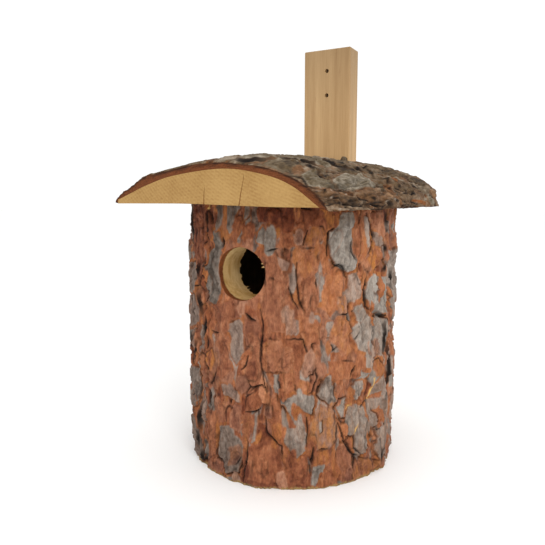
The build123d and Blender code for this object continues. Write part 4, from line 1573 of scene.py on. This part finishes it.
def on_front(x, y):
    """Where the sight line through a pixel meets the roof's front: its x and z in millimetres."""
    sight = sight_through(x, y)
    hit = eye + sight * (ROOF_FRONT - eye[1]) / sight[1]
    return hit[[0, 2]]


crack_lines = [np.array([on_front(*pixel) for pixel in pair]) for pair in SLAB_CRACKS.values()]
slab_columns = [np.linspace(-1, 1, EVEN_COLUMNS)]
for line in crack_lines:
    first, last = line[:, 0].min() - CROWDED_REACH, line[:, 0].max() + CROWDED_REACH
    slab_columns.append(np.linspace(first, last, CROWDED_COLUMNS) / SLAB_FRONT_HALF_WIDTH)
slab_columns = np.unique(np.concatenate(slab_columns))
lift_front = slab_rise(slab_columns) * SLAB_FRONT_RISE
lift_rear = slab_rise(slab_columns) * SLAB_REAR_RISE


def slab_row(depth_share, height_share):
    """One row of the slab from eave to eave, at shares of the way to the rear and up to the bark."""
    half_width = SLAB_FRONT_HALF_WIDTH + depth_share * (SLAB_REAR_HALF_WIDTH - SLAB_FRONT_HALF_WIDTH)
    x = slab_columns * half_width
    y = np.full(slab_columns.size, ROOF_FRONT + depth_share * ROOF_LENGTH)
    low = sawn_underside(x, y)
    high = np.maximum(lift_front + depth_share * (lift_rear - lift_front), low)
    high = np.where(np.abs(slab_columns) < 1, high, low)
    return np.stack([x, y, LOG_HEIGHT + low + (high - low) * height_share], axis=-1)


up_front = [slab_row(0, share) for share in np.linspace(0, 1, FACE_ROWS)]
over_back = [slab_row(share, 1) for share in np.linspace(0, 1, BACK_ROWS)[1:]]
down_rear = [slab_row(1, share) for share in np.linspace(1, 0, REAR_ROWS)[1:]]
under = [slab_row(share, 0) for share in np.linspace(1, 0, BACK_ROWS)[1:]]
slab = np.array(up_front + over_back + down_rear + under)
print("slab grid of", slab.shape[:2], "points")

# %% Drying cracks and saw marks
GROOVE_HALF, GROOVE_HOLLOW = 0.36, 0.9
GROOVE_TOP, GROOVE_WIDENING, PAST_FOOT = 0.25, 0.75, 1.4
WANDER_SIZE, WANDER_SALT, WANDER_REACH = 5.0, 81, 0.8
MARK_SIZE, MARK_SALT, MARK_SLANT, MARK_DEPTH = 1.6, 85, 0.6, 0.16
EDGE_SIZE, EDGE_SALT, FRAYED_EDGE = 1.8, 87, 0.5

slab_x, slab_z = slab[..., 0], slab[..., 2]
groove = np.zeros(slab.shape[:2])
wander = (rough_noise(slab_z, slab_x * 0, WANDER_SIZE, WANDER_SALT) - 0.5) * WANDER_REACH
for (top_x, top_z), (low_x, low_z) in crack_lines:
    passed = np.clip((slab_z - top_z) / (low_z - top_z), 0, PAST_FOOT)
    middle = top_x + (low_x - top_x) * passed + wander
    open_width = GROOVE_HALF * (GROOVE_TOP + GROOVE_WIDENING * np.minimum(passed, 1))
    groove = np.maximum(groove, np.exp(-(((slab_x - middle) / open_width) ** 2)) * (slab_z < top_z))
sawn = rough_noise(slab_x, slab_z + slab_x * MARK_SLANT, MARK_SIZE, MARK_SALT, layers=2) - 0.5
groove[FACE_ROWS:] = 0
sawn[FACE_ROWS:] = 0
slab[..., 1] += groove * GROOVE_HOLLOW + MARK_DEPTH * sawn
frayed = rough_noise(slab_columns * SLAB_FRONT_HALF_WIDTH, slab_columns * 0, EDGE_SIZE, EDGE_SALT)
frayed = frayed * (1 - np.abs(slab_columns))
slab[[0, -1], :, 2] += FRAYED_EDGE * frayed
slab_squares = grid_squares(*slab.shape[:2])
slab_piece = make_piece("slab_wood", slab, slab_squares, slab_finish, {"crack_shade": groove})
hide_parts("roof_slab")

# %% [markdown]
# ## The roof's bark, its form
# Old bark at the foot of a pine is thick, grey and plated. Its form lies between the bark's outline at
# the front and the one at the rear, both drawn through a few measured points, with a slight swell
# between them. Every point of this form shows at some pixel, so a plate or crack of the photograph
# goes to the point that shows nearest to it.

# %% Form of the roof's bark
BARK_FRONT = (
    (-87.9, 3.6), (-80.8, 10.2), (-69.7, 16.0), (-58.5, 21.8), (-41.8, 25.2), (-14.9, 29.6),
    (6.0, 31.0), (24.0, 29.6), (43.0, 26.8), (60.2, 21.6), (74.6, 14.3), (85.1, 6.1), (91.2, -2.2),
)
BARK_REAR = (
    (-109.0, 0.8), (-107.5, 9.0), (-98.0, 20.0), (-80.0, 30.0), (-58.0, 37.5), (-30.0, 44.3),
    (2.0, 46.8), (31.0, 43.0), (58.0, 38.3), (77.0, 33.0), (93.0, 26.3), (106.8, 15.0), (112.0, -0.4),
)
ROOF_COLUMNS, ROOF_ROWS = 310, 290
ROOF_SPAN = 250.0
ROOF_SWELL = 5.0

shares = np.linspace(0, 1, ROOF_COLUMNS + 1)
front_outline = curve_through(BARK_FRONT, shares)
rear_outline = curve_through(BARK_REAR, shares)
back_share = np.linspace(0, 1, ROOF_ROWS + 1)[:, None]
outline = front_outline + (rear_outline - front_outline) * back_share[..., None]
tangent = np.gradient(outline, axis=1)
normal = np.stack([-tangent[..., 1], tangent[..., 0]], axis=-1)
normal = normal / np.linalg.norm(normal, axis=-1, keepdims=True)
swell = ROOF_SWELL * np.sin(np.pi * np.sqrt(back_share)) * np.sin(np.pi * shares) ** 3
outline = outline + normal * swell[..., None]
sheet_across = np.broadcast_to((shares - 0.5) * ROOF_SPAN, outline.shape[:2])
sheet_along = np.broadcast_to(back_share * ROOF_LENGTH, outline.shape[:2])

form = np.stack([outline[..., 0], ROOF_FRONT + sheet_along, LOG_HEIGHT + outline[..., 1]], axis=-1)
outward = np.cross(np.gradient(form, axis=1), np.gradient(form, axis=0))
faces_camera = ((eye - form) * outward).sum(-1) > 0
form_x, form_y = to_photo(form)


def on_roof(x, y):
    """The place on the flat sheet that shows nearest to a pixel, of those that face the camera."""
    away = np.hypot(form_x - x, form_y - y) + np.where(faces_camera, 0.0, PHOTO_SIDE)
    row, column = np.unravel_index(away.argmin(), away.shape)
    return sheet_across[row, column], sheet_along[row, column]


print("roof form of", form.shape[:2], "points")

# %% [markdown]
# ## The roof's bark, laid out
# The roof's bark is laid out flat like the log's, with larger and thicker plates that run from front
# to rear and lean outwards. Those near the crest are pressed on last, so they lie over the others.
# The plates that the photograph shows come on top, and among them one chip that stands up from the
# crest.

# %% Scatter plates over the roof
ROOF_SEED, ROOF_LEAN = 14, 0.3
EAVE_START, EAVE_FULL = 70.0, 30.0
ROOF_GREYS, ROOF_TONES = (0.8, 1.0), (0.35, 0.65)
EAVE_BROWN, EAVE_TONE = 0.7, 0.1
# Half size, spacing, thickness and gap of each pass.
ROOF_PASSES = (
    ((18.0, 44.0), (24.0, 60.0), 0.4, 1.5),
    ((9.0, 26.0), (24.0, 50.0), 0.3, 1.4),
    ((4.0, 12.0), (26.0, 40.0), 0.2, 1.2),
)
roof_sheet = BarkSheet(ROOF_SPAN, ROOF_LENGTH, stretch=1.8, salt=9, edge=1.1, ring=0.25)
roof_chance = np.random.default_rng(ROOF_SEED)


def near_eaves(across):
    """How near a place is to an eave: 0 over the middle of the roof, 1 at the eaves."""
    return np.clip((np.abs(across) - EAVE_START) / EAVE_FULL, 0, 1)


def roof_looks(middle, chance):
    """A plate's finish: grey, and browner towards the eaves, where the layers have broken off."""
    eave = near_eaves(middle[0])
    return {
        "weathered": chance.uniform(*ROOF_GREYS) - EAVE_BROWN * eave * chance.random(),
        "tone": chance.uniform(*ROOF_TONES) + EAVE_TONE * eave,
        "ochre": 0.0,
    }


for half_size, spacing, thickness, gap in ROOF_PASSES:
    places = loose_grid(roof_sheet, roof_chance, spacing)
    places = places[np.argsort(-np.abs(places[:, 0]))]
    for middle in places:
        looks = roof_looks(middle, roof_chance)
        lean, gap_turn = (-ROOF_LEAN, 0.0) if middle[0] > 0 else (ROOF_LEAN, math.pi)
        press_at(roof_sheet, roof_chance, middle, half_size, thickness, gap, looks, lean, gap_turn)
    print("plates in this pass:", len(places))

# %% Plates that the photograph shows
# Pixel x and y, half sizes across and along the roof in millimetres; then weathered, ochre and tone.
ROOF_FLAKES = {
    "right": (387, 171, 14, 26, 0.85, 0.0, 0.35),
    "far right": (418, 181, 9, 16, 0.9, 0.0, 0.4),
    "right, lower": (401, 187, 9, 18, 0.85, 0.1, 0.35),
    "eave, front": (332, 203, 5, 12, 0.6, 0.0, 0.5),
    "eave, middle": (348, 200, 6, 18, 0.6, 0.0, 0.35),
    "eave, rear": (370, 198, 6, 16, 0.5, 0.1, 0.4),
    "eave tip": (431, 200, 6, 9, 1.0, 0.0, 0.65),
}
# Weathered, ochre and tone; then the outline's pixels.
ROOF_PLATES = {
    "top left": ((0.95, 0, 0.7), (238, 158), (244, 156.5), (262, 156), (275, 157), (277, 160), (269, 161.5),
        (252, 160.8), (243, 160.4)),
    "crest": ((1, 0, 0.58), (277, 157), (300, 156), (315, 157.5), (322, 160.5), (332, 165), (329, 168),
        (318, 168.4), (312, 165.6), (299, 163), (287, 160.4)),
    "front left": ((0.95, 0, 0.52), (262, 163.8), (272, 163.2), (286, 162), (297, 164.8), (305, 167.5),
        (299, 169.3), (292, 171.5), (283, 173), (272, 168.5)),
    "red scale": ((0.3, 0.05, 0.5), (291, 170.5), (299, 168.5), (303, 171), (301, 175), (294, 175.5)),
    "low front": ((1, 0, 0.6), (302, 176.5), (306, 172.5), (312, 172), (317, 177), (323, 181.5),
        (330, 183.5), (340, 187), (336, 190), (320, 188.6), (309, 187), (304, 182)),
    "broad smooth": ((1, 0, 0.74), (331, 182), (338, 176), (347, 173.2), (360, 174.5), (370, 178.5),
        (376.5, 184.5), (374, 188.5), (361, 188.5), (352, 192), (341, 190), (333, 186.5)),
    "orange chip": ((0, 0.9, 0.6), (412, 199.6), (419, 200.5), (425.5, 202), (424.5, 205), (417, 203.5),
        (411.5, 201)),
    "orange spot": ((0, 0.8, 0.6), (383, 177.8), (388, 179), (392, 182.3), (395, 184.6), (391, 184.2),
        (387, 181)),
}
ROOF_THICKNESS, ROOF_GAP = 0.6, 1.3
CREST_CHIP = (344, 161)
CHIP_HALF_SIZE, CHIP_RISE, CHIP_LOOKS = (2.6, 6.0), 4.2, (1.0, 0.0, 0.3)

for x, y, half_across, half_along, *colouring in ROOF_FLAKES.values():
    looks = dict(zip(LOOKS, colouring))
    plate = (on_roof(x, y), (half_across, half_along), ROOF_THICKNESS, ROOF_GAP, looks)
    press_flake(roof_sheet, roof_chance, *plate, -ROOF_LEAN, 0.0)
for colouring, *pixels in ROOF_PLATES.values():
    drawn = [on_roof(*pixel) for pixel in pixels]
    press_outline(roof_sheet, roof_chance, drawn, ROOF_THICKNESS, ROOF_GAP, dict(zip(LOOKS, colouring)))
looks = dict(zip(LOOKS, CHIP_LOOKS))
press_flake(roof_sheet, roof_chance, on_roof(*CREST_CHIP), CHIP_HALF_SIZE, CHIP_RISE, ROOF_GAP, looks)
print("plates from the photograph:", len(ROOF_FLAKES) + len(ROOF_PLATES))

# %% [markdown]
# ## Wear and painted shade on the roof's bark
# Towards the eaves the plates have broken into a rugged stack of layers, most of all at the front,
# with the shade in the gaps between the layers painted dark, and pale chips of bare fibre. Each crack
# that the photograph shows is the edge of a plate that stands over the next one, so it is lifted to a
# step whose face is painted dark as shade.

# %% Layers and fissures of the roof
RUGGED_FRONT, RUGGED_FADE, RUGGED_REAR = 85.0, 60.0, 0.4
# Size, salt, stretch, number of layers and fading.
STACK_NOISE = (4.0, 27, 7.0, 4, 0.6)
STACK_RISE, STACK_AT_EAVES = 0.4, 3.6
BETWEEN_CONTRAST, BETWEEN_START, BETWEEN_SHADE = 12, 0.35, 0.65
# Size, stretch, half width, depth and salt; then the strength on top and what the eaves add.
ROOF_FISSURES = ((20.0, 3.5, 0.8, 2.2, 15, 0.3, 0.3), (7.0, 6.0, 0.7, 1.8, 19, 0.1, 0.9))
ROOF_FLECK_SIZE, ROOF_FLECK_SALT, ROOF_FLECK_STRETCH, ROOF_FLECK_TONE = 2.8, 29, 1.6, 0.75

roof_eaves = near_eaves(roof_sheet.across)
roof_eaves = roof_eaves * (1 - (1 - RUGGED_REAR) * ease((roof_sheet.along - RUGGED_FRONT) / RUGGED_FADE))
layered = roof_sheet.noise(*STACK_NOISE)
roof_sheet.relief += layered * (STACK_RISE + STACK_AT_EAVES * roof_eaves)
# Painted shade: the gaps between the layers near the eaves are coloured dark.
between = ease(-layered * BETWEEN_CONTRAST - BETWEEN_START) * roof_eaves
roof_sheet.finish["crevice_shade_and_skin"] = np.maximum(roof_sheet.finish["crevice_shade_and_skin"], BETWEEN_SHADE * between)
for *fissure, strength, at_eaves in ROOF_FISSURES:
    open_fissures(roof_sheet, *fissure, strength + at_eaves * roof_eaves)
flecks = roof_sheet.noise(ROOF_FLECK_SIZE, ROOF_FLECK_SALT, ROOF_FLECK_STRETCH)
roof_sheet.finish["tone"] += ROOF_FLECK_TONE * flecks
print("the roof's relief spans", round(float(np.ptp(roof_sheet.relief)), 1), "mm")

# %% Steps and bare chips of the roof
# How steep each step is; then the pixels along it.
ROOF_CRACKS = {
    "top left": (1.8, (236.5, 158), (239, 160), (243.6, 161), (252, 161), (261, 161.4), (269.5, 161.9)),
    "crest": (1.5, (276.3, 159.8), (286.7, 160.8), (294.7, 162.2), (299.3, 163.7), (305.6, 164.8),
        (312.5, 166), (317, 168.8)),
    "under the crest": (0.9, (303.9, 168), (309.6, 168.5), (315, 171.7)),
    "short, below": (1.3, (313.8, 174.8), (319.6, 178.7), (325.2, 181.1)),
    "behind the crest": (1.4, (320.8, 159.5), (328, 161.9), (333.7, 164.7), (338.5, 166.7), (345.7, 168.6),
        (352.8, 170)),
    "hole behind": (2.0, (354, 168.8), (357.5, 170.3), (361, 171.4)),
    "second hole": (1.4, (363.8, 167.8), (364.6, 169.8)),
    "above it": (0.8, (337.5, 161.9), (342.3, 165.2), (348, 166.7)),
    "right": (1.1, (365.8, 170), (372, 174.8), (374.7, 177.6)),
    "right, lower": (1.6, (380.8, 179), (385.4, 183.1), (390.5, 185.6)),
    "right, lowest": (1.2, (395.1, 187.7), (399.7, 189.2)),
    "far right": (1.6, (410.4, 184.1), (414, 186.6), (418.6, 188.7)),
    "far right, lower": (1.4, (408.4, 192.8), (412.4, 195.3)),
    "between": (0.9, (400.7, 184.1), (403.3, 186.1)),
    "over the eave": (0.9, (387.4, 188.2), (390.5, 190.7)),
    "gap at the eave": (2.4, (383.9, 199.9), (388, 203.5), (392.6, 207)),
    "beside the gap": (1.6, (390.5, 198.9), (394.6, 200.9), (398.7, 202.4)),
    "along the front": (1.1, (282.6, 173.7), (290.1, 176.3), (298.1, 177.7), (302.7, 180.6), (306.8, 186.3),
        (314.2, 188.6), (321.1, 189.8)),
    "low front": (0.9, (319.4, 190.1), (325.1, 193.9)),
    "low": (1.0, (331.8, 190.1), (338.5, 191.5), (345.7, 194.4)),
    "eave, front": (1.1, (328.4, 197.3), (331.8, 198.2), (339.4, 201.1)),
    "eave, low": (0.9, (335.6, 202.1), (340.4, 206.4)),
    "eave, middle": (1.3, (362.4, 201.1), (367.2, 204.3), (373.9, 202.8), (380, 204)),
    "eave, upper": (1.0, (367.2, 198.2), (372.9, 202.2)),
}
# Narrower painted shade for the steps near the eaves.
EAVE_SHADES = (0.9, 0.7)
BARE_SIZE, BARE_SALT, BARE_CONTRAST, BARE_START, BARE_SHARE = 3.4, 33, 9, 7.0, 0.75

for steepness, *pixels in ROOF_CRACKS.values():
    line = [on_roof(*pixel) for pixel in pixels]
    shades = EAVE_SHADES if np.mean(line, axis=0)[0] > EAVE_START else LEDGE_SHADES
    raise_ledge(roof_sheet, line, LEDGE_RISE * steepness, LEDGE_REACH, shades)
chips = rough_noise(roof_sheet.across, roof_sheet.along, BARE_SIZE, BARE_SALT, layers=2)
roof_sheet.finish["bare"] = BARE_SHARE * ease(chips * BARE_CONTRAST - BARE_START) * roof_eaves
print("steps from the photograph:", len(ROOF_CRACKS))

# %% Roof bark surface
EVEN_FRONT, FRONT_RELIEF = 14.0, 0.3
GRIT_SIZE, GRIT_SALT, GRIT_STRETCH, GRIT_RISE = 2.6, 91, 2.2, 0.6
ENDS_SIZE, ENDS_SALT, ENDS_RAGGED, ENDS_REACH = 7.0, 95, 1.6, 6
PAST_FRONT, SHORT_OF_REAR, OVER_WOOD = 1.0, 0.2, 0.2

relief = roof_sheet.heights(sheet_across, sheet_along)
grit = rough_noise(sheet_across, sheet_along, GRIT_SIZE, GRIT_SALT, GRIT_STRETCH) - 0.5
evened = FRONT_RELIEF + (1 - FRONT_RELIEF) * ease(sheet_along / EVEN_FRONT)
lifted = outline + normal * ((relief + GRIT_RISE * grit) * evened)[..., None]
ragged = (rough_noise(sheet_across, sheet_along, ENDS_SIZE, ENDS_SALT) - 0.5) * ENDS_RAGGED
at_ends = ease(1 - sheet_along / ENDS_REACH) + ease(1 - (ROOF_LENGTH - sheet_along) / ENDS_REACH)
depth = ROOF_FRONT + sheet_along + ragged * at_ends
depth = np.clip(depth, ROOF_FRONT - PAST_FRONT, ROOF_REAR - SHORT_OF_REAR)
roof_points = np.stack([lifted[..., 0], depth, LOG_HEIGHT + lifted[..., 1]], axis=-1)
roof_x, _, roof_z = np.moveaxis(roof_points, -1, 0)
lowest = LOG_HEIGHT + sawn_underside(roof_x, depth) + OVER_WOOD
roof_points[..., 2] = np.where(roof_x < 0, np.maximum(roof_z, lowest), roof_z)
roof_finish = roof_sheet.finishes(sheet_across, sheet_along)
roof_finish["cut"] = np.zeros(roof_points.shape[:2])
print("roof bark up to", round(float(roof_points[..., 2].max())), "mm")

# %% [markdown]
# ## The roof's bark, closed
# The saw cut through the bark at both ends, and there its layers show red-brown with a dark outer
# skin. The grid goes on over these edges down to the wood, and under the eaves in to the wood's edge,
# so the bark has no open side but the one that lies on the wood.

# %% Cut edges of the roof's bark
EDGE_RINGS = 12
# The wood's outline under the bark keeps a little inside the wood: shares of its width and rise, and a lift.
INSIDE_WIDTH, INSIDE_RISE, INSIDE_LIFT = 0.995, 0.985, 0.1
INSIDE_FRONT, INSIDE_REAR = 0.4, 0.3
INSIDE_EAVE = 0.99
EDGE_GIRTH, EDGE_DEPTH = 240, 9
RINGS_SIZE, RINGS_STRETCH, RINGS_RISE = 2.4, 0.5, 1.2
FRONT_SALT, REAR_SALT = 101, 105
# Size, salt, stretch, number of layers and fading of the dark outer skin.
SKIN_NOISE, SKIN_DEPTH = (5.0, 107, 0.2, 4, 0.7), 5
SKIN_FADE, SKIN_STRENGTH, SKIN_MIDDLE, SKIN_THINNING, SKIN_MOST = 4, 1.6, 0.42, 0.6, 0.9
WOOD_LINE, WOOD_LINE_FROM, WOOD_LINE_WIDTH = 0.35, 0.85, 0.15

wood_place = np.interp(shares, np.linspace(0, 1, len(dense)), dense[:, 0])
wood_lift = slab_rise(wood_place)


def wood_edge(half_width, rise, depth):
    """The wood's outline under the bark at one end of the slab, a little inside its surface."""
    x = wood_place * half_width * INSIDE_WIDTH
    lift = np.maximum(wood_lift * rise * INSIDE_RISE, sawn_underside(x, depth)) + INSIDE_LIFT
    return np.stack([x, np.full(shares.size, depth), LOG_HEIGHT + lift], axis=-1)


def cut_rings(outer, inner, salt):
    """Rings from a bark outline to the wood's, roughened along the layers of the bark."""
    share = np.linspace(0, 1, EDGE_RINGS)[:, None, None]
    rings = outer * (1 - share) + inner * share
    inwards = share[..., 0]
    layers = rough_noise(shares * EDGE_GIRTH, inwards * EDGE_DEPTH, RINGS_SIZE, salt, RINGS_STRETCH) - 0.5
    rings[..., 1] += layers * RINGS_RISE * np.sin(np.pi * inwards)
    return rings


front_wood = wood_edge(SLAB_FRONT_HALF_WIDTH, SLAB_FRONT_RISE, ROOF_FRONT + INSIDE_FRONT)
rear_wood = wood_edge(SLAB_REAR_HALF_WIDTH, SLAB_REAR_RISE, ROOF_REAR - INSIDE_REAR)
front_rings = cut_rings(roof_points[0], front_wood, FRONT_SALT)
rear_rings = cut_rings(roof_points[-1], rear_wood, REAR_SALT)
roof_grid = np.concatenate([front_rings[::-1][:-1], roof_points, rear_rings[1:]])
inwards = np.linspace(0, 1, EDGE_RINGS)[1:, None]
skin = rough_noise(shares * ROOF_SPAN, inwards * SKIN_DEPTH, *SKIN_NOISE) - SKIN_MIDDLE
skin = (1 - inwards) ** SKIN_FADE + SKIN_STRENGTH * skin * (1 - SKIN_THINNING * inwards)
skin = np.clip(skin, 0, SKIN_MOST)
skin = np.maximum(skin, WOOD_LINE * ease((inwards - WOOD_LINE_FROM) / WOOD_LINE_WIDTH))
for name, values in roof_finish.items():
    rim_rows = skin if name == "crevice_shade_and_skin" else np.full(skin.shape, 1.0 if name == "cut" else 0.0)
    roof_finish[name] = np.vstack([rim_rows[::-1], values, rim_rows])
print("rings to the wood at both ends:", EDGE_RINGS)

# %% Under the eaves
row_share = np.clip((roof_grid[:, :1, 1] - ROOF_FRONT) / ROOF_LENGTH, 0, 1)
wood_half = SLAB_FRONT_HALF_WIDTH + row_share * (SLAB_REAR_HALF_WIDTH - SLAB_FRONT_HALF_WIDTH)
under_left, under_right = (
    np.stack([x, edge[..., 1], LOG_HEIGHT + sawn_underside(x, edge[..., 1])], axis=-1)
    for x, edge in (
        (-INSIDE_EAVE * wood_half, roof_grid[:, :1]),
        (INSIDE_EAVE * wood_half, roof_grid[:, -1:]),
    )
)
roof_grid = np.concatenate([under_left, roof_grid, under_right], axis=1)
for name, values in roof_finish.items():
    roof_finish[name] = np.hstack([values[:, :1], values, values[:, -1:]])
roof_finish["cut"][:, [0, -1]] = 1.0
roof_squares = grid_squares(*roof_grid.shape[:2])
roof_piece = make_piece(
    "roof_bark_plates", roof_grid, roof_squares, roof_bark_finish, roof_finish
)
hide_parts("roof_bark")

# %% [markdown]
# ## Plain pieces of the frame
# The log's wood, the floor plug, the lath and the screws already have their real shape, so they keep
# it and get finishes: bored and sawn pine, a planed lath whose grain runs upright with darker late
# wood and which grows darker towards its top end, and yellow zinc on the screws.

# %% Planed lath
BAND_SIZE, FIBRE_SIZE, STAIN_SIZE = 7.0, 0.8, 2.0
LATH_GRAIN, STAIN_GRAIN, LATH_DETAIL = (1.0, 1.0, 0.03), (1.0, 1.0, 0.12), 3.0
FIBRE_STRENGTH = 0.45
BAND_BOUNDS = {"From Min": 0.45, "From Max": 1.0}
STAIN_BOUNDS = {"From Min": 0.66, "From Max": 0.8, "To Max": 0.5}
# The height in metres where the lath starts to darken and its top; then how pale it is at both.
TOP_DARKENING_BOUNDS = {"From Min": 0.275, "From Max": 0.379, "To Min": 1.24, "To Max": 0.76}
PLANED_RELIEF, PLANED_DEPTH = 0.2, 0.15


def planed_lath(name, pale, dark, stain):
    """Planed softwood: upright bands of early and late wood, fine fibres and a few brown flecks.

    It grows darker towards its top end.
    """
    material, tree, shader = new_material(name, roughness=0.58, specular=0.35)
    place = add_node(tree, "TexCoord").outputs["Object"]
    band = pattern(tree, place, BAND_SIZE, LATH_DETAIL, LATH_GRAIN)
    fibre = pattern(tree, place, FIBRE_SIZE, LATH_DETAIL, LATH_GRAIN)
    fleck = pattern(tree, place, STAIN_SIZE, LATH_DETAIL, STAIN_GRAIN)
    share = spread(tree, reckon(tree, "MULTIPLY_ADD", fibre, FIBRE_STRENGTH, band), BAND_BOUNDS)
    spots = spread(tree, fleck, STAIN_BOUNDS)
    colour = paint(pale)
    for part, hue in ((share, dark), (spots, stain)):
        colour = blend(tree, part, colour, paint(hue))
    height = add_node(tree, "SeparateXYZ", {"Vector": place}).outputs["Z"]
    darker_upwards = blend(tree, 1.0, colour, spread(tree, height, TOP_DARKENING_BOUNDS), "MULTIPLY")
    dress(tree, shader, darker_upwards, fibre, PLANED_RELIEF, PLANED_DEPTH)
    return material


lath_finish = planed_lath("planed softwood lath", "#b7966a", "#9a784e", "#846038")
print("lath finish:", lath_finish.name)

# %% Finishes for the frame's own pieces
log_wood_finish = sawn_pine("sawn pine log", "#b8965f", "#957040", UPRIGHT_GRAIN, grain_size=3.0)
screw_finish, _, screw_shader = new_material("yellow zinc plated steel", roughness=0.38, specular=0.5)
screw_shader.inputs["Metallic"].default_value = 1.0
screw_shader.inputs["Base Color"].default_value = paint("#c9b27a")

for name, node in frame["nodes"].items():
    finish = lath_finish if name == "hanging_batten" else log_wood_finish
    node.data.materials.clear()
    node.data.materials.append(screw_finish if "screw" in name else finish)
print("finishes given to", len(frame["nodes"]), "nodes of the frame")

# %% [markdown]
# ## Floor and light
# The box stands on a plain white floor under soft light: an even white sky and one large lamp above
# and to the right of the camera, which gives the shade under the roof.

# %% Floor, sky and lamp
FLOOR_SIDE = 30.0
half = FLOOR_SIDE / 2
floor_corners = [(-half, -half, 0), (half, -half, 0), (half, half, 0), (-half, half, 0)]
floor_mesh = bpy.data.meshes.new("studio_floor")
floor_mesh.from_pydata(floor_corners, [], [(0, 1, 2, 3)])
floor = bpy.data.objects.new("studio_floor", floor_mesh)
bpy.context.scene.collection.objects.link(floor)
floor_finish, _, floor_shader = new_material("white studio floor", roughness=0.9)
floor_shader.inputs["Base Color"].default_value = paint("#fafaf9")
floor_mesh.materials.append(floor_finish)

SKY_STRENGTH = 1.06
world = bpy.data.worlds.new("even_sky")
bpy.context.scene.world = world
world.use_nodes = True
sky = world.node_tree.nodes["Background"]
sky.inputs["Color"].default_value = paint("#ffffff")
sky.inputs["Strength"].default_value = SKY_STRENGTH

LAMP_SIDE, LAMP_POWER = 0.7, 7.0
LAMP_PLACE, LAMP_AIM = np.array([0.62, -0.85, 0.85]), np.array([0.0, 0.0, 0.17])
lamp_data = bpy.data.lights.new("soft_lamp", "AREA")
lamp_data.size = LAMP_SIDE
lamp_data.energy = LAMP_POWER
lamp = bpy.data.objects.new("soft_lamp", lamp_data)
lamp_back = (LAMP_PLACE - LAMP_AIM) / np.linalg.norm(LAMP_PLACE - LAMP_AIM)
lamp_right = np.cross([0.0, 0.0, 1.0], lamp_back)
lamp_right = lamp_right / np.linalg.norm(lamp_right)
stand_at(lamp, lamp_right, np.cross(lamp_back, lamp_right), lamp_back, LAMP_PLACE)
bpy.context.scene.collection.objects.link(lamp)
bpy.context.scene.view_settings.view_transform = "Standard"
print("sky", SKY_STRENGTH, "lamp", LAMP_POWER, "W")
